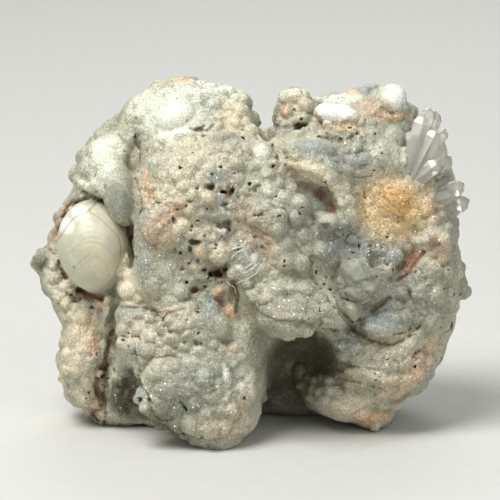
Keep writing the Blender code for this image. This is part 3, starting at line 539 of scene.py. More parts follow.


# %% [markdown]
# ## Where each finish lies
# A patch is a soft ellipsoid round the place where a pixel's line of sight meets the stone. It wraps
# round the lump that carries it, so it looks right from the side too. The edges are broken up by bending
# the space with clouds before measuring. Finishes are kept as masks from 0 to 1 on the skin's points, and
# the material mixes its colours by them. Not all are the stone's colours: the darkest mask is painted
# shade in the cave, the recesses and the pits, and the olive and smoky grey masks carry painted shade too.

# %% Patches
# finish: (photo x, photo y, half width, half height, roll, strength), ...
PATCHES = {
    "smooth": (
        (95, 246, 38, 46, -8, 1), (117, 188, 20, 36, -10, .75), (176, 117, 26, 20, -25, 1),
        (134, 160, 14, 30, 5, .8), (105, 145, 16, 22, 30, .7), (130, 290, 14, 20, 0, .8),
        (337, 114, 22, 10, 4, 1), (392, 98, 16, 14, 0, 1), (262, 154, 12, 12, 0, .8),
        (279, 147, 11, 8, 35, .8), (300, 370, 55, 50, 0, .8), (245, 376, 14, 22, 0, .7),
        (380, 329, 18, 9, 8, .5), (75, 360, 14, 40, 0, .5), (408, 146, 18, 22, 20, .7),
        (358, 408, 26, 18, 0, .8), (314, 148, 20, 8, 8, .5), (66, 290, 14, 16, 0, .6),
    ),
    "druse": (
        (395, 208, 40, 38, 0, 1), (185, 400, 52, 46, 0, .8), (350, 240, 50, 30, 0, .8),
        (250, 225, 26, 50, 0, .7), (300, 300, 50, 24, 0, .7), (185, 92, 60, 18, 0, .5),
        (148, 190, 14, 34, 0, .9), (160, 260, 30, 50, 0, .6), (350, 155, 50, 22, 0, .5),
        (430, 250, 24, 60, 0, .6), (385, 365, 50, 34, 0, .7), (165, 330, 50, 24, 0, .6),
        (340, 128, 30, 10, 0, .9), (128, 390, 22, 24, 0, .8), (225, 185, 20, 22, 0, .7),
        (345, 346, 18, 12, 0, 1),
    ),
    "white": (
        (176, 117, 20, 15, -25, .5), (336, 113, 21, 10, 4, 1), (395, 98, 12, 14, 0, 1),
        (338, 97, 12, 4, 0, .6), (262, 154, 10, 10, 0, .4), (244, 380, 11, 17, 0, .5),
        (226, 380, 5, 20, -8, .6), (320, 385, 16, 10, 0, .5), (54, 265, 6, 5, 0, .6),
        (245, 262, 16, 14, 0, .6), (295, 92, 10, 5, 0, .4), (210, 90, 18, 6, 0, .35),
        (84, 185, 10, 5, 0, .4), (160, 335, 12, 8, 0, .35), (66, 290, 9, 9, -20, .3),
        (220, 232, 8, 4, 0, .4), (176, 285, 14, 16, 0, .35), (198, 350, 16, 10, 0, .3),
        (244, 345, 8, 10, 0, .3),
    ),
    "pale": (
        (176, 112, 44, 34, -20, 1), (205, 92, 44, 16, 5, .9), (146, 102, 24, 20, -30, .9),
        (103, 160, 20, 32, 20, 1), (72, 214, 16, 26, 20, .9), (90, 184, 18, 10, 0, .8),
        (237, 112, 18, 20, -15, .7), (318, 170, 22, 9, 28, .7), (337, 112, 26, 12, 4, 1),
        (392, 98, 18, 16, 0, 1), (296, 98, 16, 12, 0, .8), (342, 98, 30, 8, 0, .8),
        (262, 154, 14, 12, 0, .6), (182, 156, 34, 14, 0, .5), (131, 286, 13, 18, 0, .4),
        (340, 195, 8, 12, -30, .5), (66, 290, 14, 16, 0, .6), (285, 195, 30, 22, 0, .35),
        (180, 185, 30, 24, 0, .35), (245, 375, 8, 16, 0, .3), (408, 150, 12, 20, 20, .5),
        (385, 150, 26, 18, 0, .55), (404, 166, 30, 12, 10, .7), (219, 252, 10, 10, 0, .3),
    ),
    # smoky grey: the stone's own grey tone, and painted shade over the cave
    "smoky": (
        (420, 292, 34, 48, 0, .75), (357, 278, 24, 24, 0, .6), (382, 308, 26, 14, 0, .6),
        (350, 332, 22, 12, 0, .5), (300, 302, 40, 16, 5, .4), (376, 250, 26, 14, 0, .6),
        (185, 402, 40, 38, 0, .45), (212, 308, 14, 16, 0, .6), (130, 318, 16, 12, 0, .5),
        (156, 258, 14, 40, 0, .3), (362, 362, 32, 14, 0, .45), (128, 392, 24, 26, 0, .8),
        (120, 205, 14, 22, -10, .4), (218, 178, 10, 8, 0, .6), (223, 200, 8, 8, 0, .5),
        (345, 240, 24, 18, 0, .5), (250, 210, 18, 26, 0, .25), (300, 240, 24, 18, 0, .25),
        (41, 262, 10, 10, 0, .7), (215, 436, 34, 10, 0, .5), (350, 156, 30, 12, 0, .3),
        (300, 380, 46, 50, 0, .4), (408, 345, 26, 14, -30, .35), (225, 345, 14, 22, 0, .35),
    ),
    "cream": (
        (235, 118, 16, 28, -15, .8), (205, 150, 50, 16, 10, .5), (180, 190, 34, 34, 0, .6),
        (190, 228, 26, 12, 10, .8), (219, 254, 12, 12, 0, .8), (310, 170, 26, 10, 25, .9),
        (336, 190, 10, 16, -30, .7), (279, 147, 11, 8, 35, .6), (295, 100, 15, 12, 0, .7),
        (75, 345, 22, 40, 0, .8), (66, 295, 14, 22, 0, .8), (131, 288, 14, 20, 0, .7),
        (88, 186, 14, 6, 0, .5), (398, 345, 30, 16, -20, .5), (365, 378, 30, 14, 0, .6),
        (318, 390, 20, 12, 0, .6), (352, 410, 30, 14, 0, .7), (250, 385, 12, 22, 0, .4),
        (160, 330, 46, 22, 0, .4), (215, 430, 34, 14, 0, .5), (430, 280, 26, 46, 0, .3),
        (368, 207, 13, 16, 0, .8), (190, 270, 18, 8, 0, .5), (262, 290, 16, 8, 0, .3),
        (85, 395, 14, 26, 0, .8), (124, 268, 7, 14, 0, .8), (70, 212, 10, 20, 20, .5),
        (320, 305, 24, 10, 20, .25), (150, 150, 18, 16, 0, .3), (416, 350, 22, 14, -30, .4),
    ),
    "pink": (
        (148, 190, 9, 26, -14, .8), (160, 235, 22, 26, 0, .7), (176, 208, 14, 10, 0, .8),
        (200, 253, 8, 9, 0, .8), (306, 106, 8, 8, 0, .75), (278, 116, 7, 10, 0, .6),
        (209, 198, 9, 7, 0, .5), (430, 206, 14, 18, 0, .9), (440, 250, 14, 22, 0, .6),
        (245, 215, 14, 28, 0, .5), (262, 240, 16, 16, 0, .5), (375, 108, 18, 14, 0, .55),
        (130, 325, 16, 12, 0, .4), (236, 415, 14, 16, 0, .5), (100, 374, 6, 6, 0, .7),
        (402, 385, 30, 12, -35, .7), (286, 168, 20, 10, 0, .4), (88, 330, 18, 20, 0, .4),
        (185, 158, 30, 12, 0, .3), (150, 295, 22, 16, 0, .25), (448, 160, 8, 12, 0, .6),
        (225, 425, 20, 14, 0, .35), (410, 250, 16, 22, 0, .35), (56, 278, 9, 7, 0, .5),
    ),
    "blue": (
        (119, 192, 18, 32, -12, .3), (315, 148, 26, 9, 8, .8), (350, 160, 30, 14, 0, .6),
        (345, 240, 36, 24, 0, .8), (368, 90, 12, 7, 0, .8), (218, 178, 9, 8, 0, .8),
        (223, 198, 7, 5, 0, .9), (215, 213, 12, 9, 0, .4), (200, 378, 22, 22, 0, .5),
        (380, 325, 22, 12, 8, .9), (346, 346, 18, 10, 0, .8), (205, 100, 34, 10, 0, .4),
        (320, 205, 18, 12, 0, .7), (360, 265, 26, 24, 0, .6), (143, 262, 10, 26, 0, .4),
        (130, 318, 16, 12, 0, .6), (139, 392, 10, 12, 0, .7), (390, 140, 30, 22, 0, .35),
        (211, 308, 12, 14, 0, .6), (243, 140, 10, 8, 0, .3), (260, 130, 8, 16, 0, .3),
        (395, 250, 26, 14, 0, .7), (418, 300, 20, 34, 0, .4), (300, 230, 30, 26, 0, .35),
        (180, 400, 30, 20, 0, .3), (390, 300, 26, 14, 0, .5), (372, 372, 14, 6, 0, .3),
    ),
    "orange": (
        (184, 81, 14, 5, 0, 1), (286, 113, 7, 7, 0, .8), (372, 112, 14, 9, 30, .35),
        (343, 127, 24, 7, 0, .6), (318, 119, 7, 10, 0, .45), (360, 104, 12, 8, 30, .35),
        (392, 118, 18, 7, -10, .6), (95, 345, 4.5, 12, 0, 1), (102, 302, 9, 8, 0, .7),
        (219, 292, 6, 9, 0, 1), (229, 311, 8, 9, 0, 1), (148, 182, 6, 14, -10, .6),
        (176, 214, 7, 6, 0, .6), (84, 322, 12, 12, 0, .35), (240, 103, 8, 5, 20, .5),
        (352, 94, 8, 4, 0, .6), (370, 418, 22, 10, 0, .8), (420, 368, 14, 22, 40, .5),
        (412, 262, 7, 16, 30, .7), (60, 385, 10, 30, -20, .6), (250, 235, 14, 20, 0, .35),
        (60, 228, 10, 26, 20, .6), (262, 218, 10, 10, 0, .3), (270, 250, 10, 16, 0, .4),
        (435, 176, 12, 10, 0, .5), (352, 175, 8, 5, 0, .3), (100, 402, 8, 16, 0, .5),
        (432, 350, 12, 22, 30, .5), (180, 160, 10, 4, 0, .4), (236, 345, 10, 12, 0, .4),
    ),
    "gold": (
        (393, 209, 43, 38, 0, .85), (386, 230, 20, 13, 0, .6), (345, 131, 16, 5, 0, .4),
        (366, 204, 12, 14, 0, .4), (168, 272, 5, 4, 0, .4), (440, 180, 8, 6, 0, .3),
        (365, 415, 14, 8, 0, .4), (390, 121, 14, 4, -10, .5),
    ),
    # painted shade: darkens the cave, the recesses and the arc under the quartz block
    "dark": (
        (300, 366, 44, 36, 0, .34), (290, 395, 40, 22, 0, .4), (262, 345, 12, 30, 10, .25),
        (352, 300, 16, 3, 8, .3), (128, 398, 18, 16, 0, .2),
    ),
    "amber": ((398, 200, 20, 17, 0, .75), (404, 212, 14, 12, 0, .5)),
    "rust": (
        (322, 195, 12, 6, 35, .9), (332, 208, 6, 9, 10, 1), (306, 186, 9, 5, 20, .6),
        (412, 262, 6, 14, 30, .9), (405, 272, 8, 5, 0, .8), (432, 241, 6, 7, 0, .7),
        (95, 415, 8, 7, 0, .8), (105, 370, 5, 12, 8, .8), (100, 396, 5, 16, -8, .9),
        (88, 296, 16, 5, 30, .9), (60, 222, 5, 26, 22, .6), (70, 205, 10, 5, -40, .7),
        (46, 300, 5, 26, -20, .5), (126, 234, 5, 14, -25, .8), (112, 214, 7, 6, -30, .7),
        (200, 128, 5, 3, 0, .6), (196, 290, 8, 4, 0, .7), (222, 300, 8, 12, 0, .6),
        (218, 272, 12, 5, 20, .8), (196, 242, 8, 4, 0, .8), (230, 190, 4, 8, 0, .7),
        (218, 188, 8, 3, 0, .6), (160, 314, 16, 3, 0, .6), (110, 340, 6, 10, 10, .5),
        (283, 113, 3, 5, 0, .5), (282, 128, 12, 3, 0, .5), (260, 121, 4, 4, 0, .8),
        (378, 113, 5, 5, 0, .6), (332, 328, 20, 3, 8, .5), (340, 386, 4, 8, -20, .6),
        (232, 290, 6, 14, 0, .8), (247, 215, 5, 5, 0, .4), (255, 232, 5, 5, 0, .4),
        (262, 250, 6, 6, 0, .4), (176, 330, 12, 4, 0, .4), (404, 396, 16, 5, -38, .5),
        (73, 267, 3, 3, 0, .4), (225, 414, 8, 5, 0, .3), (146, 200, 3, 8, 0, .4),
    ),
    # olive: the stone's own brown-green tone, and painted shade in the cave, the recess at the lower left
    # and along the ledges
    "olive": (
        (300, 365, 50, 45, 0, .8), (128, 395, 22, 24, 0, .9), (160, 422, 30, 10, 20, .8),
        (352, 330, 30, 6, 15, .6), (41, 262, 9, 10, 0, .7), (360, 385, 26, 12, 10, .5),
        (268, 310, 26, 12, 10, .5), (356, 300, 26, 12, 0, .5), (300, 322, 40, 6, 5, .6),
        (285, 152, 12, 8, 0, .3), (208, 186, 5, 5, 0, .5), (420, 310, 16, 14, 0, .3),
        (365, 140, 14, 6, 0, .4), (200, 405, 10, 14, 0, .3), (375, 260, 12, 14, 0, .4),
        (400, 300, 10, 8, 0, .4), (325, 226, 8, 6, 0, .6), (300, 372, 8, 10, 0, .4),
        (158, 368, 10, 5, 0, .3), (184, 268, 10, 4, 0, .4),
    ),
}


PATCH_EDGE = (0.45, 1.35)  # where a patch starts to fade and where it has ended, over its half size
PATCH_SEED = 40


def seen_place(points, x, y):
    """Each point's place in a frame at a pixel's spot on the stone: across, up and deep."""
    centre, way = on_stone(x, y), sight(x, y)
    left = points - np.array(centre)
    return left[:, 0], left @ np.array(UP), left @ np.array(way)


def patch_weight(points, x, y, wide, high, roll):
    across, up, deep = seen_place(points, x, y)
    turn = math.radians(roll)
    along = across * math.cos(turn) - up * math.sin(turn)
    over = across * math.sin(turn) + up * math.cos(turn)
    depth = max(wide, high, 8) * 1.6
    away = np.sqrt((along / wide) ** 2 + (over / high) ** 2 + (deep / depth) ** 2) / PIXEL
    return 1 - fade(away, *PATCH_EDGE)


def bent(points, seed, reach=0.9):
    """The points shifted by clouds, which makes the outline of a patch uneven."""
    shift = [layered_clouds(points, 2.2, seed + 10 * k, 3) - 0.5 for k in range(3)]
    return points + np.stack(shift, axis=1) * 2 * reach * MM


def paint(points, finish):
    moved = bent(points, PATCH_SEED)
    mask = np.zeros(len(points))
    for x, y, wide, high, roll, strength in PATCHES[finish]:
        mask = np.maximum(mask, strength * patch_weight(moved, x, y, wide, high, roll))
    return mask


# %% [markdown]
# ## Cracks, ledges and pits
# Narrow things are drawn as lines of pixels laid on the stone: a groove follows its line, and a ledge lifts
# the stone on the right-hand side of its line, steeply at the line and fading behind it. Pits are small
# ellipses with ragged edges, pushed in along the line of sight.

# %% Lines and pits
# olive grooves lay painted shade in the crack along with their tone; rust grooves are stains
# half width in pixels, depth in mm, finish, strength, pixels of the line
GROOVES = (
    (3.0, .7, "rust", .9, ((60, 262), (66, 275), (76, 287), (88, 295), (104, 299))),
    (2.2, .4, "rust", .7, (
        (60, 240), (60, 228), (66, 214), (78, 202), (92, 196), (106, 204), (116, 218),
    )),
    (1.6, .35, "rust", .5, ((119, 306), (130, 307), (147, 309), (160, 313), (172, 312), (184, 308))),
    (2.0, .45, "olive", .6, (
        (143, 208), (138, 222), (135, 240), (138, 258), (143, 276), (149, 296), (158, 310),
    )),
    (2.2, .5, "rust", .6, (
        (136, 352), (142, 372), (148, 394), (158, 416), (178, 430), (198, 436), (214, 434),
    )),
    (2.2, .5, "rust", .9, (
        (112, 330), (108, 345), (105, 360), (100, 370), (96, 384), (98, 400), (97, 420),
    )),
    (1.6, .3, "rust", .7, ((106, 378), (104, 392), (106, 410), (104, 424))),
    (2.0, .35, "olive", .4, (
        (313, 276), (322, 292), (334, 306), (344, 318), (354, 330), (370, 340), (390, 345), (408, 338),
        (420, 326),
    )),
    (2.2, .6, "olive", .8, ((336, 296), (340, 308), (352, 322), (366, 316), (378, 306), (390, 298))),
    (1.8, .45, "olive", .6, ((340, 292), (350, 302), (364, 300), (376, 290))),
    (1.4, .35, "olive", .6, ((271, 143), (275, 152), (278, 160), (284, 166))),
    (1.2, .3, "olive", .5, ((283, 152), (287, 158), (282, 164))),
    (1.4, .35, "olive", .4, ((252, 182), (262, 186), (272, 180), (280, 186), (284, 196), (292, 198))),
    (1.4, .3, "olive", .4, ((268, 203), (276, 208), (286, 208), (290, 226), (298, 226))),
    (1.6, .3, "olive", .4, ((296, 244), (304, 256), (312, 262), (310, 276), (316, 284))),
    (2.2, .6, "olive", .7, ((322, 136), (334, 140), (346, 139), (358, 134))),
    (1.6, .4, "olive", .6, ((320, 103), (318, 112), (322, 122), (328, 130))),
    (1.2, .25, "olive", .4, ((340, 152), (350, 154), (362, 152), (374, 150), (384, 146))),
    (1.2, .25, "olive", .4, ((334, 162), (346, 163), (358, 166), (368, 164))),
    (1.2, .25, "olive", .4, ((338, 172), (348, 176), (360, 178), (372, 176))),
    (1.4, .3, "rust", .3, ((338, 370), (350, 372), (364, 376), (378, 380))),
    (1.2, .25, "olive", .5, ((338, 378), (352, 381), (368, 386), (382, 388))),
    (1.2, .25, "olive", .4, ((344, 386), (358, 391), (372, 394), (388, 394))),
    (1.2, .25, "olive", .4, ((350, 366), (364, 368), (380, 370), (396, 366))),
    (1.8, .4, "rust", .8, ((424, 252), (416, 262), (410, 272), (398, 280))),
    (1.4, .3, "rust", .5, ((320, 385), (330, 386), (340, 384), (344, 392))),
    (1.6, .35, "olive", .4, ((134, 142), (140, 150), (140, 166), (136, 182), (140, 196), (142, 206))),
    (1.6, .3, "olive", .3, ((118, 134), (124, 142), (116, 158), (108, 176), (104, 190))),
    (1.4, .35, "rust", .5, ((190, 128), (198, 131), (208, 130), (214, 124))),
    (1.6, .3, "olive", .3, ((252, 128), (258, 140), (262, 146))),
    (2.0, .5, "olive", .5, ((226, 262), (232, 280), (238, 296), (236, 312))),
    (1.4, .3, "rust", .4, ((162, 208), (172, 216), (176, 222), (182, 236), (188, 244), (190, 252))),
    (1.2, .2, "olive", .3, ((398, 150), (404, 160), (414, 168))),
    (1.0, .2, "olive", .3, ((410, 272), (420, 290), (430, 312))),
    (1.0, .2, "olive", .3, ((420, 268), (430, 286), (440, 308))),
    (1.0, .2, "olive", .3, ((430, 262), (440, 278), (448, 296))),
    (1.0, .2, "olive", .3, ((404, 282), (412, 300), (420, 318))),
    (1.4, .3, "olive", .4, ((150, 322), (158, 326), (152, 340), (160, 346))),
    (1.4, .3, "rust", .4, ((122, 336), (130, 338), (138, 336), (142, 342))),
    (1.4, .3, "rust", .3, ((132, 354), (146, 356), (158, 358), (170, 356), (182, 358))),
)
# height in mm, fall in pixels, pixels of the line: the right-hand side is lifted
LEDGES = (
    (.7, 14, (
        (158, 312), (149, 298), (142, 276), (137, 258), (134, 240), (137, 224), (145, 212), (150, 206),
    )),
    (.8, 14, ((190, 433), (176, 430), (160, 418), (150, 400), (144, 382), (140, 364), (138, 356))),
    (.5, 10, ((198, 434), (212, 434), (224, 428))),
    (.5, 9, ((146, 210), (142, 196), (139, 182), (142, 172))),
    (.5, 8, ((342, 336), (326, 330), (300, 320), (278, 320), (262, 314), (250, 298))),
)
# photo x and y, half width and height, roll, depth in mm, strength of the painted shade in the pit
PITS = (
    (210.5, 188, 4, 4, 0, 1.6, 1), (230.5, 193, 2.5, 4.5, 0, 1.6, 1), (212, 174.5, 2, 2, 0, .8, .9),
    (225, 204, 4, 2, 0, 1, .8), (173, 219, 2.2, 3.2, 0, 1.2, 1), (191, 231, 1.8, 1.8, 0, .8, .9),
    (205, 236, 1.8, 2, 0, .8, .9), (196, 242, 7, 3, 0, 1.4, .7), (190, 249, 2, 4, 0, 1, .8),
    (189, 263, 3.5, 1.8, -20, 1, .9), (184, 269, 2, 1.6, 0, .8, .8), (217, 273, 7, 4.5, 25, 2, 1),
    (195, 290, 6, 3, 0, 1.2, .8), (228, 223, 4.5, 4, 0, 1.4, .8), (229, 231, 1.8, 2, 0, .8, .9),
    (186, 206, 1.8, 1.8, 0, .8, .9), (189, 201, 3.5, 1.4, 10, .7, .7), (199, 128.5, 6, 2.6, -15, 1, .6),
    (294.5, 110, 1.6, 2.4, 0, 1, .9), (300, 94, 1.4, 1.8, 0, .6, .7), (299, 128, 6, 2.6, -15, 1.6, .95),
    (105, 368, 2, 4.5, 0, 1.4, 1), (123.5, 340.5, 3.2, 1.8, 20, 1.2, 1), (72, 296, 5, 2, 35, 1, .7),
    (373, 262, 6, 7, 0, .6, .5), (326, 226, 6, 4.5, 0, .6, .5), (415, 353, 2, 2, 0, .8, .9),
    (419, 351, 1.6, 1.6, 0, .8, .9), (413, 357, 1.6, 1.6, 0, .8, .9), (375, 380, 2.4, 1.6, 0, .8, 1),
    (375, 374, 2.2, 1.4, 0, .7, .9), (371, 378, 1.6, 1.4, 0, .6, .8), (380, 377, 1.6, 1.4, 0, .6, .8),
    (451, 325, 2.2, 6, 0, 1.6, 1), (164, 326, 2, 2, 0, .6, .8), (170, 332, 2, 1.8, 0, .6, .8),
    (158, 322, 1.8, 2, 0, .6, .8), (184, 343, 1.8, 2.2, 0, .6, .8), (197, 344, 2.4, 1.8, 30, .6, .8),
    (176, 316, 5, 2, 0, .7, .6), (154, 311, 4, 1.8, 0, .7, .7), (410, 292, 2.5, 6, -20, .8, .7),
    (362, 138, 2, 1.6, 0, .6, .8), (352, 140, 3, 1.4, 20, .7, .8), (334, 138, 5, 1.6, 10, .9, .9),
    (366, 150, 1.6, 1.4, 0, .5, .7), (340, 142, 2, 1.4, 0, .5, .7), (258, 186, 5, 1.6, -20, .7, .8),
    (285, 192, 1.4, 3.5, 0, .7, .8), (262, 213, 1.4, 1.6, 0, .6, .8), (248, 206, 1.4, 1.4, 0, .6, .7),
    (240, 247, 2, 1.6, 0, .6, .8), (255, 238, 1.4, 1.6, 0, .6, .8), (262, 247, 1.4, 1.8, 0, .6, .8),
    (247, 231, 1.6, 1.4, 0, .6, .8), (131, 140.5, 1.2, 1.2, 0, .3, .3), (139, 146, 3, 4, 0, .8, .4),
    (96, 192, 4, 2, 0, .8, .8), (85, 192, 4, 1.8, 20, .8, .8), (160, 204, 2, 2, 0, .6, .5),
    (149, 213, 2.5, 1.4, 20, .6, .7), (269, 108, 1, 1, 0, .2, .3), (401, 333, 8, 1.6, -14, .8, .8),
    (352, 330, 6, 2, 20, .8, .7), (108, 386, 2.4, 4, 0, .9, .7), (150, 400, 3, 3, 0, .8, .7),
    (132, 400, 4, 3, 0, .9, .7), (114, 370, 2.4, 3, 0, .8, .7), (142, 386, 2.4, 4, 0, .8, .6),
    (286, 165, 1.6, 1.4, 0, .5, .8), (273, 145, 1.4, 2, 0, .5, .8), (277, 157, 1.4, 2.4, 20, .5, .8),
    (240, 200, 1.4, 1.6, 0, .6, .7), (222, 282, 3, 2, 0, .8, .8), (188, 404, 2, 1.6, 0, .4, .4),
    (213, 391, 2, 1.8, 0, .4, .4),
)
LEDGE_REACH_MM = 4.5
GROOVE_REACH_MM = 3
PIT_REACH_MM = 1.6
STAIN_AND_SHADE_WIDTH = 1.6  # how much wider than a groove its colour is


def line_on_stone(pixels, step=3.0):
    """The line's places on the stone, about every step pixels."""
    spots = []
    for start, end in zip(pixels, pixels[1:]):
        count = max(1, round(math.dist(start, end) / step))
        for i in range(count):
            part = i / count
            x = start[0] + (end[0] - start[0]) * part
            y = start[1] + (end[1] - start[1]) * part
            spots.append(on_stone(x, y))
    spots.append(on_stone(*pixels[-1]))
    return np.array(spots)


def distance_to_line(points, spots, limit):
    """How far each point is from a line through spots, or 9 where it is beyond limit."""
    found = np.full(len(points), 9.0)
    near = np.all((points > spots.min(axis=0) - limit) & (points < spots.max(axis=0) + limit), axis=1)
    close = points[near]
    best = np.full(len(close), 9.0)
    for start, end in zip(spots, spots[1:]):
        way = end - start
        part = np.clip((close - start) @ way / max(way @ way, 1e-12), 0, 1)
        best = np.minimum(best, np.linalg.norm(close - start - part[:, None] * way, axis=1))
    found[near] = best
    return found


def photo_pixels(points):
    """The photo pixel in which the camera sees each point."""
    left = points - np.array(EYE)
    deep = left @ np.array(AHEAD)
    x = PHOTO_MIDDLE + left[:, 0] / deep * VIEW_DISTANCE / PIXEL
    y = PHOTO_MIDDLE - left @ np.array(UP) / deep * VIEW_DISTANCE / PIXEL
    return x, y


def beside_line(points, pixels):
    """Signed distance in pixels from a line of pixels: positive on its right-hand side."""
    x, y = photo_pixels(points)
    best = np.full(len(points), 1e9)
    signed = np.zeros(len(points))
    for (x0, y0), (x1, y1) in zip(pixels, pixels[1:]):
        way_x, way_y = x1 - x0, y1 - y0
        part = np.clip(((x - x0) * way_x + (y - y0) * way_y) / (way_x ** 2 + way_y ** 2), 0, 1)
        off_x, off_y = x - x0 - part * way_x, y - y0 - part * way_y
        away = np.hypot(off_x, off_y)
        side = np.sign(way_x * off_y - way_y * off_x)
        signed = np.where(away < best, away * side, signed)
        best = np.minimum(best, away)
    return signed


def carve(points, normals):
    """Moves the skin's points for the ledges, grooves and pits."""
    facing = fade(-(normals @ np.array(AHEAD)), 0.0, 0.3)
    rise = np.zeros(len(points))
    for height, fall, pixels in LEDGES:
        spots = line_on_stone(pixels)
        near = distance_to_line(points, spots, LEDGE_REACH_MM * 1.1 * MM) < LEDGE_REACH_MM * MM
        side = beside_line(points, pixels)
        step = height * fade(side, -0.6, 1.2) * np.exp(-np.clip(side, 0, None) / fall)
        rise += np.where(near, step * facing, 0)
    for wide, depth, _, _, pixels in GROOVES:
        away = distance_to_line(points, line_on_stone(pixels), GROOVE_REACH_MM * MM) / (wide * PIXEL)
        rise -= depth * np.clip(1 - away ** 2, 0, 1)
    moved = points + normals * (rise * MM)[:, None]
    jag = jagged(points)
    for x, y, wide, high, roll, depth, _ in PITS:
        weight = pit_weight(points, jag, x, y, wide * 1.15, high * 1.15, roll)
        moved += np.array(sight(x, y)) * (0.6 * depth * MM * weight)[:, None]
    return moved


def pit_weight(points, jag, x, y, wide, high, roll):
    across, up, deep = seen_place(points, x, y)
    turn = math.radians(roll)
    along = across * math.cos(turn) - up * math.sin(turn)
    over = across * math.sin(turn) + up * math.cos(turn)
    away = np.sqrt((along / wide) ** 2 + (over / high) ** 2) / PIXEL
    return np.clip(1 - (away * (1 + jag)) ** 2, 0, 1) * (np.abs(deep) < PIT_REACH_MM * MM)


def jagged(points):
    """How much each point's place in a pit is shifted, which makes its outline ragged."""
    return 2.6 * (layered_clouds(points, 0.9, 160, 2) - 0.5)


# %% Grow the fine relief
def write_points(mesh, points):
    mesh.vertices.foreach_set("co", points.astype(np.float32).ravel())
    mesh.update()


# height in mm, size in mm, seed
BEADS_RELIEF = (0.13, 1.7, 5)
GRAINS_RELIEF = (0.17, 0.9, 11)
SWELLS_RELIEF = (0.4, 3.0, 17)
DOME_MIDDLE = 0.6
WARP_SEED = 90
WARP_REACH_MM = 0.35

points, normals = read_points(skin_mesh), read_points(skin_mesh, "normal")
smooth, druse = paint(points, "smooth"), paint(points, "druse")
rough = np.clip(1 - smooth, 0.08, 1)
grainy = np.clip(rough * (0.6 + 0.6 * druse), 0, 1)
warped = bent(points, WARP_SEED, WARP_REACH_MM)
height, size, seed = BEADS_RELIEF
relief = height * (domes(warped, size, seed) - DOME_MIDDLE) * rough
height, size, seed = GRAINS_RELIEF
relief += height * (domes(warped, size, seed) - DOME_MIDDLE) * grainy
height, size, seed = SWELLS_RELIEF
relief += height * (layered_clouds(points, size, seed, 4) - 0.5) * rough
points = points + normals * (relief * MM)[:, None]
points = carve(points, normals)
points[:, 2] = np.clip(points[:, 2], 0, None)
write_points(skin_mesh, points)

# %% Thin out the skin
MASS_FACES = 190000
HIDDEN_FACES = 36000
rear_facing = fade(normals @ np.array(AHEAD), 0.05, 0.35) > 0.5


def thin_out(obj, share, chosen):
    """Removes faces round the chosen points until that share of all faces is left."""
    group = obj.vertex_groups.new(name="thinned")
    group.add(np.flatnonzero(chosen).tolist(), 1.0, "REPLACE")
    thinning = obj.modifiers.new("fewer faces", "DECIMATE")
    thinning.ratio = share
    thinning.vertex_group = group.name
    made = evaluated_mesh(obj)
    obj.modifiers.clear()
    obj.vertex_groups.clear()
    return made


all_faces = 2 * len(skin_mesh.polygons)
rear_faces = all_faces * float(rear_facing.mean())
skin_mesh = thin_out(skin, (all_faces - rear_faces + HIDDEN_FACES) / all_faces, rear_facing)
skin.data = skin_mesh
thinning = skin.modifiers.new("fewer faces", "DECIMATE")
thinning.ratio = min(1.0, MASS_FACES / len(skin_mesh.polygons))
skin_mesh = evaluated_mesh(skin)
skin.modifiers.clear()
skin.data = skin_mesh
skin_mesh.name = "grown_mass"
skin_mesh.polygons.foreach_set("use_smooth", [True] * len(skin_mesh.polygons))
print("mass:", len(skin_mesh.polygons), "faces")

# %% Store the masks
# finish, size of its spots in mm, seed, level of the clouds above which it shows, strength
HIDDEN_COLOURS = (
    ("cream", 9.0, 61, .50, .8), ("pale", 8.0, 63, .54, .7), ("blue", 8.0, 67, .56, .6),
    ("pink", 7.0, 71, .56, .6), ("orange", 6.0, 79, .66, .45), ("rust", 4.0, 83, .72, .5),
    ("olive", 8.0, 89, .64, .45), ("white", 6.0, 97, .66, .45), ("gold", 7.0, 101, .76, .4),
    ("druse", 9.0, 103, .45, 1), ("smooth", 9.0, 107, .6, 1),
)
# painted shade with a brown stain tint in creases and hollows: rounds of smoothing, and the depths in mm
# at which the mask starts and is full
CREASES = {"crevice": (3, 0.02, 0.10), "hollow": (30, 0.05, 0.45)}


def store(mesh, name, values):
    attribute = mesh.attributes.new(name, "FLOAT", "POINT")
    attribute.data.foreach_set("value", values.astype(np.float32))


def hollowness(mesh, points, normals, rounds):
    """How far each point lies below its surroundings smoothed in so many rounds, in millimetres."""
    ends = np.empty(len(mesh.edges) * 2, np.int32)
    mesh.edges.foreach_get("vertices", ends)
    ends = ends.reshape(-1, 2)
    start = np.concatenate([ends[:, 0], ends[:, 1]])
    end = np.concatenate([ends[:, 1], ends[:, 0]])
    degree = np.maximum(np.bincount(start, minlength=len(points)), 1)
    eased = points.copy()
    for _ in range(rounds):
        sums = [np.bincount(start, eased[end, k], len(points)) for k in range(3)]
        eased = np.stack(sums, axis=1) / degree[:, None]
    return np.einsum("ij,ij->i", eased - points, normals) / MM


points, normals = read_points(skin_mesh), read_points(skin_mesh, "normal")
hidden = fade(normals @ np.array(AHEAD), -0.15, 0.35)
masks = {finish: paint(points, finish) for finish in PATCHES}
for finish, size, seed, level, strength in HIDDEN_COLOURS:
    spots = strength * fade(layered_clouds(points, size, seed, 5), level - 0.12, level + 0.22)
    masks[finish] = np.maximum(masks[finish] * (1 - 0.5 * hidden), spots * hidden)
# groove colours: rust is a stain, olive is partly tone and partly painted shade in the crack
for wide, _, finish, strength, pixels in GROOVES:
    away = distance_to_line(points, line_on_stone(pixels), GROOVE_REACH_MM * MM)
    away /= wide * STAIN_AND_SHADE_WIDTH * PIXEL
    masks[finish] = np.maximum(masks[finish], strength * np.clip(1.3 - away ** 2, 0, 1))
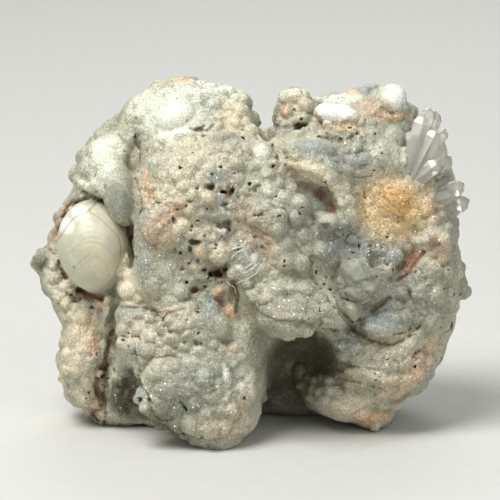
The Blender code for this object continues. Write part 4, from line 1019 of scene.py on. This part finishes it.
# painted shade in the pits, stronger in the larger ones
dark = masks["dark"]
jag = jagged(points)
for x, y, wide, high, roll, _, pit_shade in PITS:
    share = pit_shade * (0.5 + 0.4 * fade(min(wide, high), 1.4, 3.5))
    dark = np.maximum(dark, share * fade(pit_weight(points, jag, x, y, wide, high, roll), 0.0, 0.8))
masks["dark"] = dark
for finish, (rounds, low, high) in CREASES.items():
    masks[finish] = fade(hollowness(skin_mesh, points, normals, rounds), low, high)
for finish, values in masks.items():
    store(skin_mesh, finish, values)
print("masks:", {finish: round(float(values.mean()), 3) for finish, values in masks.items()})

# %% [markdown]
# ## The stone's material
# The colour starts as a grey-green stone with soft clouds, and each mask lays its own colour over it with
# an edge broken up by finer noise. Creases, hollows, pits and the gaps between beads are darkened as
# painted shade. Tiny white spots are painted glints, standing in for crystal faces that catch the light.
# They are built once as a node group, which any material can use.

# %% Helpers for shader nodes
def linear(red, green, blue):
    """A colour given as it looks on a screen, 0 to 255, turned into light."""
    shares = [value / 255 for value in (red, green, blue)]
    return [((v + 0.055) / 1.055) ** 2.4 if v > 0.04 else v / 12.92 for v in shares] + [1]


class Wiring:
    """Adds nodes to a tree and links them by name."""

    def __init__(self, tree):
        self.tree = tree

    def node(self, kind, settings=None, **inputs):
        made = self.tree.nodes.new(kind)
        for key, value in (settings or {}).items():
            setattr(made, key, value)
        for key, value in inputs.items():
            self.put(made.inputs[key.replace("_", " ")], value)
        return made

    def put(self, socket, value):
        if isinstance(value, bpy.types.NodeSocket):
            self.tree.links.new(value, socket)
        else:
            socket.default_value = value

    def math(self, operation, first, second=0.5):
        made = self.node("ShaderNodeMath", {"operation": operation})
        self.put(made.inputs[0], first)
        self.put(made.inputs[1], second)
        return made.outputs[0]

    def fade(self, value, low, high, bottom=0.0, top=1.0):
        made = self.node("ShaderNodeMapRange", {"interpolation_type": "SMOOTHSTEP"}, Value=value)
        for key, number in (("From Min", low), ("From Max", high), ("To Min", bottom), ("To Max", top)):
            self.put(made.inputs[key], number)
        return made.outputs[0]

    def mix(self, share, under, over, blend="MIX"):
        made = self.node("ShaderNodeMix", {"data_type": "RGBA", "blend_type": blend})
        self.put(made.inputs["Factor"], share)
        self.put(made.inputs["A"], under)
        self.put(made.inputs["B"], over)
        return made.outputs["Result"]

    def mask(self, name):
        return self.node("ShaderNodeAttribute", {"attribute_name": name}).outputs["Fac"]

    def place(self):
        return self.node("ShaderNodeTexCoord").outputs["Object"]

    def noise(self, place, size_mm, detail=4.0, roughness=0.55):
        scale = 1 / (size_mm * MM)
        made = self.node("ShaderNodeTexNoise", None, Vector=place, Scale=scale, Detail=detail)
        made.inputs["Roughness"].default_value = roughness
        return made.outputs["Fac"]

    def bump(self, shader, height, strength, distance_mm):
        """Lets a height tilt the shader's surface."""
        made = self.node("ShaderNodeBump", None, Height=height, Strength=strength, Distance=distance_mm * MM)
        self.put(shader.inputs["Normal"], made.outputs["Normal"])

    def new_socket(self, name, kind, value=None):
        """Adds an input to the tree."""
        socket = self.tree.interface.new_socket(name, in_out="INPUT", socket_type=kind)
        if value is not None:
            socket.default_value = value


def new_material(name, ior):
    """A material with its wiring and its shader."""
    material = bpy.data.materials.new(name)
    material.use_nodes = True
    shader = material.node_tree.nodes["Principled BSDF"]
    shader.inputs["IOR"].default_value = ior
    return material, Wiring(material.node_tree), shader


CHALCEDONY_IOR = 1.54
QUARTZ_IOR = 1.544


def painted_glint_group():
    """Painted glints: a mask of small white spots standing in for crystal faces that catch the light."""
    tree = bpy.data.node_groups.new("painted crystal glints", "ShaderNodeTree")
    wires = Wiring(tree)
    wires.new_socket("Place", "NodeSocketVector")
    wires.new_socket("Spacing", "NodeSocketFloat", 1500.0)
    wires.new_socket("Share", "NodeSocketFloat", 0.2)
    wires.new_socket("Size", "NodeSocketFloat", 0.2)
    tree.interface.new_socket("Painted Glint", in_out="OUTPUT", socket_type="NodeSocketFloat")
    came, goes = wires.node("NodeGroupInput"), wires.node("NodeGroupOutput")
    place, spacing = came.outputs["Place"], came.outputs["Spacing"]
    cells = wires.node("ShaderNodeTexVoronoi", None, Vector=place, Scale=spacing)
    chance = wires.node("ShaderNodeSeparateColor", None, Color=cells.outputs["Color"]).outputs["Red"]
    chosen = wires.math("LESS_THAN", chance, came.outputs["Share"])
    near = wires.math("LESS_THAN", cells.outputs["Distance"], came.outputs["Size"])
    wires.put(goes.inputs["Painted Glint"], wires.math("MULTIPLY", chosen, near))
    return tree


PAINTED_GLINTS = painted_glint_group()

# %% The stone
# some of these colours paint light: the darkest brown and the crease and hollow browns are painted shade,
# olive and smoky grey are partly painted shade, and the near-white is painted glints
STONE_COLOURS = {
    "base": (190, 188, 165), "shade": (158, 158, 139), "blue": (158, 163, 158), "cream": (216, 204, 174),
    "pale": (222, 224, 204), "pink": (202, 177, 146), "white": (244, 245, 237), "olive": (108, 102, 78),
    "orange": (222, 186, 150), "gold": (220, 192, 140), "amber": (194, 148, 74), "rust": (116, 78, 48),
    "smoky": (128, 130, 116), "dark": (44, 34, 25), "painted_glint": (255, 255, 250),
    "crevice": (124, 98, 70), "hollow": (128, 112, 86),
}
BROAD_MM, FINE_MM, GRAIN_MM = 5.0, 0.9, 0.22
COARSE_PER_METRE, SMALL_PER_METRE = 1150.0, 2300.0
GLOW_WEIGHT, GLOW_RADIUS, GLOW_MM = 0.35, (1.0, 0.85, 0.65), 0.7
PAINTED_GLINT_VALUES = {"Spacing": 1350.0, "Share": 0.24, "Size": 0.20}
LAYERS = ("smoky", "pale", "blue", "cream", "pink", "white", "olive", "orange", "gold", "amber", "rust")


def layered_colour(wires, place, fine):
    """Base colour with each layer's colour laid over where its mask and finer noise say; olive and smoky
    grey partly painted shade.
    """
    under, over = linear(*STONE_COLOURS["shade"]), linear(*STONE_COLOURS["base"])
    colour = wires.mix(wires.fade(wires.noise(place, BROAD_MM), 0.35, 0.65), under, over)
    ragged = wires.math("MULTIPLY", wires.math("SUBTRACT", fine, 0.5), 1.1)
    for layer in LAYERS:
        mask = wires.mask(layer)
        edge = wires.math("ADD", mask, wires.math("MULTIPLY", ragged, wires.fade(mask, 0.0, 0.3)))
        share = wires.math("MULTIPLY", wires.fade(edge, 0.02, 1.05), 0.95)
        colour = wires.mix(share, colour, linear(*STONE_COLOURS[layer]))
    return colour


def bead_gap_shade(wires, place):
    """Painted shade in the gaps between small beads, as a factor: 1 is none at all, as on smooth and golden
    stone.
    """
    beads = wires.node(
        "ShaderNodeTexVoronoi", {"feature": "DISTANCE_TO_EDGE"}, Vector=place, Scale=COARSE_PER_METRE)
    gaps = wires.fade(beads.outputs["Distance"], 0.0, 0.14, 0.80, 1.0)
    gaps = wires.math("MAXIMUM", gaps, wires.fade(wires.mask("smooth"), 0.3, 0.9))
    return wires.math("MAXIMUM", gaps, wires.fade(wires.mask("gold"), 0.2, 0.7))


def stone_material():
    material, wires, shader = new_material("chalcedony", CHALCEDONY_IOR)
    place = wires.place()
    fine = wires.noise(place, FINE_MM, 5.0, 0.65)
    grain = wires.noise(place, GRAIN_MM, 3.0, 0.6)
    colour = layered_colour(wires, place, fine)
    # grain tone times painted shade in the gaps between beads scales the colour
    value = wires.math("MULTIPLY", wires.fade(grain, 0.32, 0.68, 0.70, 1.28), bead_gap_shade(wires, place))
    grey = wires.node("ShaderNodeCombineColor", None, Red=value, Green=value, Blue=value)
    colour = wires.mix(1.0, colour, grey.outputs[0], "MULTIPLY")
    # painted shade with a brown stain tint: creases and hollows are darkened in the colour
    for mask, strength in (("crevice", 0.38), ("hollow", 0.34)):
        share = wires.math("MULTIPLY", wires.mask(mask), strength)
        colour = wires.mix(share, colour, linear(*STONE_COLOURS[mask]))
    # painted shade laid over the colour in the cave, the recesses and the pits
    colour = wires.mix(wires.mask("dark"), colour, linear(*STONE_COLOURS["dark"]))
    # painted glints: white spots on the sugary stone stand in for crystal faces catching the light
    glint_node = wires.node("ShaderNodeGroup", {"node_tree": PAINTED_GLINTS}, Place=place)
    for name, number in PAINTED_GLINT_VALUES.items():
        glint_node.inputs[name].default_value = number
    sugary = wires.fade(wires.mask("druse"), 0.2, 0.7, 0.25, 1.0)
    painted_glint = wires.math("MULTIPLY", glint_node.outputs["Painted Glint"], sugary)
    colour = wires.mix(painted_glint, colour, linear(*STONE_COLOURS["painted_glint"]))
    wires.put(shader.inputs["Base Color"], colour)
    dull = wires.fade(grain, 0.3, 0.7, 0.42, 0.62)
    wires.put(shader.inputs["Roughness"], wires.math("SUBTRACT", dull, wires.math("MULTIPLY", painted_glint, 0.4)))
    shader.inputs["Subsurface Weight"].default_value = GLOW_WEIGHT
    shader.inputs["Subsurface Radius"].default_value = GLOW_RADIUS
    shader.inputs["Subsurface Scale"].default_value = GLOW_MM * MM
    small = wires.node("ShaderNodeTexVoronoi", None, Vector=place, Scale=SMALL_PER_METRE)
    coarse = wires.node("ShaderNodeTexVoronoi", None, Vector=place, Scale=COARSE_PER_METRE)
    cells = wires.math("ADD", small.outputs["Distance"], coarse.outputs["Distance"])
    crust = wires.fade(wires.mask("smooth"), 0.0, 1.0, 1.0, 0.12)
    beaded = wires.math("MULTIPLY", wires.math("SUBTRACT", 1.0, cells), crust)
    height = wires.math("ADD", beaded, wires.math("MULTIPLY", fine, crust))
    wires.bump(shader, height, 0.8, 0.15)
    return material


stone = stone_material()
skin_mesh.materials.clear()
skin_mesh.materials.append(stone)
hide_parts("chalcedony_mass")
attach(skin, "root")

# %% [markdown]
# ## The smooth ball
# On the left a ball of chalcedony sits in its socket, smooth as an egg, with fine growth lines round the
# spot where it began. It is one closed ball whose points are pushed in along those lines, and the lines
# and the rusty spot are kept as masks for its colours.

# %% The ball
BALL_MIDDLE = (95, 246)
BALL_HALF_MM = (5.95, 7.0, 7.45)
BALL_ROLL = -8
BALL_SINK_MM = 6.7
GROWTH_START = (92, 262)
# half width in pixels, depth in mm, how rusty, pixels of the line
BALL_LINES = (
    (1.3, .10, 1, ((58, 240), (66, 228), (75, 217), (89, 210), (99, 199))),
    (1.1, .07, .6, ((89, 210), (101, 219), (111, 229), (120, 239), (121, 256), (116, 272), (109, 286))),
    (0.9, .04, .4, ((66, 256), (78, 246), (90, 242), (104, 246), (114, 256))),
    (0.9, .04, .35, ((72, 276), (80, 262), (92, 256), (104, 262), (110, 276))),
    (0.8, .03, .3, ((84, 216), (88, 232), (90, 250), (88, 268))),
)
# photo x and y, radius in pixels, finish, strength
BALL_SPOTS = (
    (98, 246, 3.0, "gold", .8), (74, 267, 2.2, "rust", .5), (90, 250, 8, "gold", .15),
    (66, 226, 9, "white", .8), (80, 212, 9, "white", .7), (104, 262, 12, "cream", .5),
)
BALL_COLOURS = (184, 183, 156), (206, 203, 180)
BALL_VOXEL_MM = 0.16
LINE_RUST = 0.45


def join_shells(shells, name, voxel_mm, rounds):
    """The shells as one closed, evenly meshed object."""
    obj = bpy.data.objects.new(name, shells.mesh(name))
    bpy.context.scene.collection.objects.link(obj)
    joining = obj.modifiers.new("join", "REMESH")
    joining.mode = "VOXEL"
    joining.voxel_size = voxel_mm * MM
    easing = obj.modifiers.new("ease", "SMOOTH")
    easing.iterations = rounds
    made = evaluated_mesh(obj)
    obj.modifiers.clear()
    obj.data = made
    made.name = name
    made.polygons.foreach_set("use_smooth", [True] * len(made.polygons))
    return obj


def curved(pixels, steps=6):
    """The line of pixels with rounded bends, as a list of many more pixels."""
    line = np.array(pixels, float)
    found = []
    for part in np.linspace(0, len(line) - 1, steps * (len(line) - 1) + 1):
        i = min(int(part), len(line) - 2)
        u = part - i
        a, b, c, d = line[max(i - 1, 0)], line[i], line[i + 1], line[min(i + 2, len(line) - 1)]
        square, cube = 2 * a - 5 * b + 4 * c - d, 3 * b - a - 3 * c + d
        found.append(0.5 * (2 * b + (c - a) * u + square * u ** 2 + cube * u ** 3))
    return found


def make_piece(obj, material):
    """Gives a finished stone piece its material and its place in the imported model."""
    obj.data.materials.clear()
    obj.data.materials.append(material)
    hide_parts("chalcedony_mass")
    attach(obj, "root")
    print(obj.name, len(obj.data.polygons), "faces")


met = on_stone(*BALL_MIDDLE)
ball_centre = met + sight(*BALL_MIDDLE) * BALL_SINK_MM * MM
ball_shells = Shells()
ball_shells.add_ball(ball_centre, [half * MM for half in BALL_HALF_MM], BALL_ROLL, 4)
ball = join_shells(ball_shells, "smooth_ball", BALL_VOXEL_MM, 12)
points, normals = read_points(ball.data), read_points(ball.data, "normal")
front = normals @ np.array(AHEAD) < 0
ball_masks = {finish: np.zeros(len(points)) for finish in ("gold", "rust", "white", "cream")}
rise = 0.10 * (layered_clouds(points, 5.0, 131, 3) - 0.5)
rise += 0.02 * (clouds(points, 0.5, 137) - 0.5)
for wide, depth, strength, pixels in BALL_LINES:
    away = np.abs(beside_line(points, curved(pixels, 4))) / wide
    line = np.clip(1 - away ** 2, 0, 1) * front
    rise -= depth * line
    ball_masks["rust"] = np.maximum(ball_masks["rust"], strength * LINE_RUST * line)
x, y = photo_pixels(points)
rings = np.hypot(x - GROWTH_START[0], (y - GROWTH_START[1]) * 0.85)
rise += 0.012 * np.sin(rings * 1.4 + 3 * clouds(points, 3.0, 139))
for spot_x, spot_y, reach, finish, strength in BALL_SPOTS:
    away = np.hypot(x - spot_x, y - spot_y) / reach
    spot = strength * np.clip(1.2 - away ** 2, 0, 1) * front
    ball_masks[finish] = np.maximum(ball_masks[finish], spot)
write_points(ball.data, points + normals * (rise * MM)[:, None])
for finish, values in ball_masks.items():
    store(ball.data, finish, values)


def ball_material():
    """Smooth chalcedony: cream and grey-green in soft clouds, under a faint waxy gloss."""
    material, wires, shader = new_material("smooth chalcedony", CHALCEDONY_IOR)
    place = wires.place()
    cloud = wires.noise(place, 4.0, 5.0)
    dim, bright = (linear(*row) for row in BALL_COLOURS)
    colour = wires.mix(wires.fade(cloud, 0.35, 0.65), dim, bright)
    for finish in ("cream", "white", "gold", "rust"):
        colour = wires.mix(wires.mask(finish), colour, linear(*STONE_COLOURS[finish]))
    wires.put(shader.inputs["Base Color"], colour)
    wires.put(shader.inputs["Roughness"], wires.fade(cloud, 0.3, 0.7, 0.34, 0.46))
    wires.bump(shader, wires.noise(place, 0.5, 3.0), 0.25, 0.03)
    return material


make_piece(ball, ball_material())

# %% [markdown]
# ## Blocky see-through quartz and thin ribs
# Right of the middle a lump of quartz has grown as blunt, glassy blocks: convex blocks with flat faces,
# each the closed hull of a few points. A few more sit at the foot of the fan. Left of the lump thin curled
# ribs stand up from the stone like worm casts; each is a row of overlapping little balls along a wavy line
# of pixels.

# %% Blocky quartz
# photo x and y, half sizes in pixels, roll in degrees
BLOCKS = (
    (354, 273, 17, 14, 20), (342, 281, 8, 9, -15), (366, 285, 12, 10, 35), (356, 293, 15, 9, 5),
    (370, 274, 7, 8, 10), (344, 294, 8, 6, 20), (352, 262, 8, 6, 40), (363, 300, 9, 5, -10),
    (273, 277, 6, 5, 25), (362, 313, 8, 5, -20), (348, 312, 7, 5, 20), (338, 232, 7, 6, 15),
    (352, 240, 8, 7, -25), (328, 250, 6, 6, 30), (404, 128, 7, 8, 15), (411, 141, 8, 9, 25),
    (419, 153, 8, 8, 40), (428, 164, 8, 7, 50), (436, 174, 7, 6, 60), (413, 128, 6, 7, 10),
    (423, 141, 6, 7, 30), (399, 141, 7, 7, -10),
)
BLOCK_CORNERS = 11
BLOCK_DEEP = 0.8
BLOCK_OUT = 0.2
BLOCK_BEVEL_MM = 0.12
BLOCK_SEED = 31
BLOCK_COLOURS = (170, 170, 152), (210, 209, 192)


def add_block(bm, dice, x, y, across, high, roll):
    """One blunt crystal block: the hull of points spread over an ellipsoid, partly sunk in the stone."""
    deep = min(across, high) * BLOCK_DEEP * PIXEL
    centre = on_stone(x, y) - sight(x, y) * deep * BLOCK_OUT
    turn = Matrix.Rotation(math.radians(roll), 3, "Y")
    corners = []
    for i in range(BLOCK_CORNERS):
        height = 1 - 2 * (i + 0.5) / BLOCK_CORNERS
        ring, angle = math.sqrt(1 - height * height), GOLDEN_TURN * i + dice.uniform(-0.3, 0.3)
        right, up = ring * math.cos(angle) * across * PIXEL, ring * math.sin(angle) * high * PIXEL
        corners.append(bm.verts.new(centre + turn @ Vector((right, height * deep, up))))
    bmesh.ops.convex_hull(bm, input=corners)


block_dice = random.Random(BLOCK_SEED)
block_mesh = bmesh.new()
for row in BLOCKS:
    add_block(block_mesh, block_dice, *row)
bevel = BLOCK_BEVEL_MM * MM
bmesh.ops.bevel(block_mesh, geom=block_mesh.edges[:], offset=bevel, segments=2, affect="EDGES")
bmesh.ops.recalc_face_normals(block_mesh, faces=block_mesh.faces[:])
blocks = bpy.data.objects.new("blocky_quartz", bpy.data.meshes.new("blocky_quartz"))
block_mesh.to_mesh(blocks.data)
block_mesh.free()
bpy.context.scene.collection.objects.link(blocks)


def glassy_material():
    """Milky quartz blocks: mostly see-through, clouded inside."""
    material, wires, shader = new_material("milky quartz", QUARTZ_IOR)
    place = wires.place()
    cloud = wires.noise(place, 1.5, 5.0)
    dim, bright = (linear(*row) for row in BLOCK_COLOURS)
    wires.put(shader.inputs["Base Color"], wires.mix(wires.fade(cloud, 0.4, 0.65), dim, bright))
    wires.put(shader.inputs["Roughness"], wires.fade(cloud, 0.35, 0.7, 0.06, 0.26))
    wires.bump(shader, wires.noise(place, 0.6, 3.0), 0.4, 0.12)
    shader.inputs["Transmission Weight"].default_value = 0.45
    return material


make_piece(blocks, glassy_material())

# %% Thin ribs
# half width in pixels, pixels of the curled line
RIBS = (
    (1.3, ((231, 262), (234, 256), (239, 252), (245, 251), (250, 255), (249, 261), (244, 263))),
    (1.2, ((236, 268), (237, 261), (242, 257), (247, 258))),
    (1.2, ((229, 270), (228, 264), (231, 258), (236, 254))),
    (1.3, ((243, 270), (249, 266), (255, 261), (256, 254), (252, 249))),
    (1.1, ((238, 275), (244, 273), (251, 270), (258, 264), (261, 257))),
    (1.2, ((232, 278), (236, 273), (241, 268))),
    (1.2, ((247, 279), (254, 275), (260, 270), (263, 263))),
    (1.1, ((236, 284), (243, 281), (249, 284), (254, 281))),
    (1.2, ((240, 290), (247, 289), (254, 289), (259, 284))),
    (1.1, ((246, 297), (252, 295), (259, 293))),
    (1.1, ((254, 268), (260, 276), (259, 283))),
    (1.2, ((228, 252), (233, 249), (240, 247), (247, 246))),
    (1.0, ((253, 246), (258, 250), (262, 248))),
    (1.1, ((226, 276), (228, 283), (234, 287), (236, 293))),
    (1.0, ((241, 256), (240, 262), (245, 267))),
)
RIB_STAND_OUT_MM = 0.05
RIB_VOXEL_MM = 0.09
RIB_MASKS = {"white": 0.1, "pale": 0.45}


def rib_shell(shells, wide, pixels):
    """Overlapping little balls along a curved line make one rib."""
    line = curved(pixels)
    for i, spot in enumerate(line):
        end = min(i, len(line) - 1 - i) / 3
        radius = 0.85 * wide * PIXEL * (0.6 + 0.4 * min(1, end))
        centre = on_stone(*spot) - sight(*spot) * RIB_STAND_OUT_MM * MM
        shells.add_ball(centre, (radius, radius * 1.8, radius), 0, 2)


rib_shells = Shells()
for row in RIBS:
    rib_shell(rib_shells, *row)
ribs = join_shells(rib_shells, "curled_ribs", RIB_VOXEL_MM, 2)
for finish, strength in RIB_MASKS.items():
    store(ribs.data, finish, np.full(len(ribs.data.vertices), strength))
make_piece(ribs, stone)

# %% [markdown]
# ## Small crystals
# Where quartz had room it ended in small points: a golden crust at the right, and loose bright grains all
# over. They repeat by the thousand, so one tree of geometry nodes scatters them: points fall on the skin as
# thickly as a mask allows, and each carries a six-sided point that leans a little off the surface.

# %% The scattering tree
POINT_SIDES = 6


def tilted_upright(wires, came, normal):
    """A turn that stands a crystal up along the normal and then leans it by a random tilt."""
    lean = wires.node("FunctionNodeRandomValue", {"data_type": "FLOAT_VECTOR"}, Seed=came.outputs["Seed"])
    wires.put(lean.inputs[0], (-1, -1, -3))
    wires.put(lean.inputs[1], (1, 1, 3))
    leaned = wires.node("ShaderNodeVectorMath", {"operation": "SCALE"}, Scale=came.outputs["Lean"])
    wires.put(leaned.inputs[0], lean.outputs[0])
    upright = wires.node("FunctionNodeAlignRotationToVector", {"axis": "Z"}, Vector=normal)
    tilt = wires.node("FunctionNodeEulerToRotation")
    wires.put(tilt.inputs[0], leaned.outputs[0])
    turned = wires.node("FunctionNodeRotateRotation", {"rotation_space": "LOCAL"})
    wires.put(turned.inputs["Rotation"], upright.outputs[0])
    wires.put(turned.inputs["Rotate By"], tilt.outputs[0])
    return turned.outputs[0]


def scatter_tree():
    tree = bpy.data.node_groups.new("scattered crystal points", "GeometryNodeTree")
    wires = Wiring(tree)
    wires.new_socket("Skin", "NodeSocketGeometry")
    wires.new_socket("Where", "NodeSocketString", "gold")
    wires.new_socket("Least Mask", "NodeSocketFloat", 0.2)
    wires.new_socket("Per Square Metre", "NodeSocketFloat", 3e6)
    wires.new_socket("Smallest", "NodeSocketFloat", 0.5)
    wires.new_socket("Largest", "NodeSocketFloat", 1.0)
    wires.new_socket("Radius", "NodeSocketFloat", 0.2 * MM)
    wires.new_socket("Length", "NodeSocketFloat", 0.4 * MM)
    wires.new_socket("Lean", "NodeSocketFloat", 0.5)
    wires.new_socket("Seed", "NodeSocketInt", 1)
    wires.new_socket("Material", "NodeSocketMaterial")
    tree.interface.new_socket("Crystals", in_out="OUTPUT", socket_type="NodeSocketGeometry")
    came, goes = wires.node("NodeGroupInput"), wires.node("NodeGroupOutput")
    named = wires.node(
        "GeometryNodeInputNamedAttribute", {"data_type": "FLOAT"}, Name=came.outputs["Where"])
    mask = named.outputs["Attribute"]
    share = wires.math("MULTIPLY", wires.math("GREATER_THAN", mask, came.outputs["Least Mask"]), mask)
    density = wires.math("MULTIPLY", share, came.outputs["Per Square Metre"])
    spread = wires.node("GeometryNodeDistributePointsOnFaces", None, Density=density)
    wires.put(spread.inputs["Mesh"], came.outputs["Skin"])
    wires.put(spread.inputs["Seed"], came.outputs["Seed"])
    point = wires.node("GeometryNodeMeshCone", {"fill_type": "NGON"}, Vertices=POINT_SIDES)
    wires.put(point.inputs["Depth"], came.outputs["Length"])
    wires.put(point.inputs["Radius Bottom"], came.outputs["Radius"])
    wires.put(point.inputs["Radius Top"], wires.math("MULTIPLY", came.outputs["Radius"], 0.25))
    size = wires.node("FunctionNodeRandomValue", {"data_type": "FLOAT"}, Seed=came.outputs["Seed"])
    wires.put(size.inputs[2], came.outputs["Smallest"])
    wires.put(size.inputs[3], came.outputs["Largest"])
    placed = wires.node("GeometryNodeInstanceOnPoints", None, Points=spread.outputs["Points"])
    wires.put(placed.inputs["Instance"], point.outputs["Mesh"])
    wires.put(placed.inputs["Rotation"], tilted_upright(wires, came, spread.outputs["Normal"]))
    wires.put(placed.inputs["Scale"], size.outputs[1])
    whole = wires.node("GeometryNodeRealizeInstances", None, Geometry=placed.outputs["Instances"])
    dressed = wires.node("GeometryNodeSetMaterial", None, Geometry=whole.outputs["Geometry"])
    wires.put(dressed.inputs["Material"], came.outputs["Material"])
    wires.put(goes.inputs["Crystals"], dressed.outputs["Geometry"])
    return tree


SCATTER = scatter_tree()


def scatter(name, material, **inputs):
    """Crystals scattered over the skin, as a plain mesh object."""
    obj = bpy.data.objects.new(name, skin_mesh.copy())
    bpy.context.scene.collection.objects.link(obj)
    growing = obj.modifiers.new("grow crystals", "NODES")
    growing.node_group = SCATTER
    inward = [item for item in SCATTER.interface.items_tree if item.in_out == "INPUT"]
    sockets = {item.name: item.identifier for item in inward}
    for key, value in {**inputs, "Material": material}.items():
        growing[sockets[key.replace("_", " ")]] = value
    made = evaluated_mesh(obj)
    obj.modifiers.clear()
    obj.data = made
    made.name = name
    return obj


CRYSTAL_COLOURS = {
    "dim": (204, 201, 186), "bright": (226, 223, 210), "gold": (228, 206, 160), "amber": (212, 172, 98),
}


def crystal_material():
    """Small quartz points: clear to milky, stained gold and amber where the stone below is."""
    material, wires, shader = new_material("small quartz points", QUARTZ_IOR)
    colours = {name: linear(*row) for name, row in CRYSTAL_COLOURS.items()}
    colour = wires.mix(wires.noise(wires.place(), 1.0, 3.0), colours["dim"], colours["bright"])
    for finish in ("gold", "amber"):
        share = wires.math("MULTIPLY", wires.mask(finish), 0.8)
        colour = wires.mix(share, colour, colours[finish])
    wires.put(shader.inputs["Base Color"], colour)
    wires.put(shader.inputs["Roughness"], wires.fade(wires.noise(wires.place(), 0.4), 0.3, 0.7, 0.08, 0.3))
    shader.inputs["Transmission Weight"].default_value = 0.35
    return material


# %% Golden crust, fringe and bright grains
small_points = crystal_material()
golden = scatter(
    "golden_crust", small_points, Where="gold", Least_Mask=0.22, Per_Square_Metre=4.5e6,
    Smallest=0.4, Largest=1.1, Radius=0.17 * MM, Length=0.30 * MM, Lean=0.55, Seed=3,
)
grains = scatter(
    "bright_grains", small_points, Where="druse", Least_Mask=0.3, Per_Square_Metre=0.9e6,
    Smallest=0.35, Largest=0.95, Radius=0.10 * MM, Length=0.24 * MM, Lean=0.6, Seed=5,
)
for piece in (golden, grains):
    make_piece(piece, small_points)

# %% [markdown]
# ## Clear quartz points
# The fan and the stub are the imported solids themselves: six-sided points that are already the right
# shape. They get glass with the refraction of quartz, and a little absorption inside.

# %% Quartz
QUARTZ_COLOURS = {"clear": (254, 252, 244), "veil": (248, 244, 232), "absorbed": (246, 240, 222)}
QUARTZ_TRANSMISSION = 0.72
QUARTZ_ABSORPTION = 7.0


def quartz_material():
    material, wires, shader = new_material("clear quartz", QUARTZ_IOR)
    colours = {name: linear(*row) for name, row in QUARTZ_COLOURS.items()}
    place = wires.place()
    veil = wires.noise(place, 1.2, 4.0)
    veiled = wires.mix(wires.fade(veil, 0.4, 0.7), colours["clear"], colours["veil"])
    wires.put(shader.inputs["Base Color"], veiled)
    wires.put(shader.inputs["Roughness"], wires.fade(veil, 0.4, 0.75, 0.03, 0.20))
    stripes = wires.node("ShaderNodeTexNoise", None, Vector=place, Scale=1400.0, Detail=2.0)
    wires.bump(shader, stripes.outputs["Fac"], 0.25, 0.1)
    shader.inputs["Transmission Weight"].default_value = QUARTZ_TRANSMISSION
    absorbing = wires.node("ShaderNodeVolumeAbsorption")
    absorbing.inputs["Color"].default_value = colours["absorbed"]
    absorbing.inputs["Density"].default_value = QUARTZ_ABSORPTION
    wires.put(material.node_tree.nodes["Material Output"].inputs["Volume"], absorbing.outputs["Volume"])
    return material


quartz = quartz_material()
for name in ("quartz_fan", "quartz_stub"):
    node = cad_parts[name]
    node.data.materials.clear()
    node.data.materials.append(quartz)

# %% [markdown]
# ## Light, floor and sizes
# One large soft light from the upper left shapes the lumps, and a fill, a light from behind and a grey
# room keep the shadows open. The floor is plain pale paper.

# %% Light and floor
# name, place in metres, side in metres, watts
LIGHTS = (
    ("soft key", (-0.22, -0.20, 0.56), 0.34, 4.5),
    ("soft fill", (0.40, -0.45, 0.30), 0.50, 1.0),
    ("soft back", (0.05, 0.50, 0.40), 0.40, 1.2),
)
LIT_POINT = Vector((0, 0, 0.025))
ROOM_COLOUR = (0.80, 0.81, 0.80, 1)
ROOM_LIGHT = 0.40
PAPER_COLOURS = (196, 196, 190), (204, 204, 198)

for name, place, size, power in LIGHTS:
    lamp = bpy.data.lights.new(name, "AREA")
    lamp.size = size
    lamp.energy = power
    lamp_object = bpy.data.objects.new(name, lamp)
    lamp_object.location = place
    lamp_object.rotation_euler = (LIT_POINT - Vector(place)).to_track_quat("-Z", "Y").to_euler()
    bpy.context.scene.collection.objects.link(lamp_object)

world = bpy.data.worlds.new("studio")
world.use_nodes = True
world.node_tree.nodes["Background"].inputs["Color"].default_value = ROOM_COLOUR
world.node_tree.nodes["Background"].inputs["Strength"].default_value = ROOM_LIGHT
bpy.context.scene.world = world
bpy.context.scene.view_settings.view_transform = "Standard"

bpy.ops.mesh.primitive_plane_add(size=3)
floor = bpy.context.object
floor.name = "floor"
paper = bpy.data.materials.new("pale paper")
paper.use_nodes = True
paper_wires = Wiring(paper.node_tree)
paper_shader = paper.node_tree.nodes["Principled BSDF"]
speckle = paper_wires.noise(paper_wires.place(), 3.0)
dim, bright = (linear(*row) for row in PAPER_COLOURS)
paper_wires.put(paper_shader.inputs["Base Color"], paper_wires.mix(speckle, dim, bright))
paper_shader.inputs["Roughness"].default_value = 0.8
floor.data.materials.append(paper)
floor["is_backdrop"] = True

# %% Sizes, and the end
bpy.context.view_layer.update()
visual_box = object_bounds()
boxes = {"cad": cad_box, "visual": visual_box}
{name: [list(corner) for corner in box] for name, box in boxes.items()}
print("CAD box   ", [[round(v / MM, 2) for v in corner] for corner in cad_box])
print("visual box", [[round(v / MM, 2) for v in corner] for corner in visual_box])
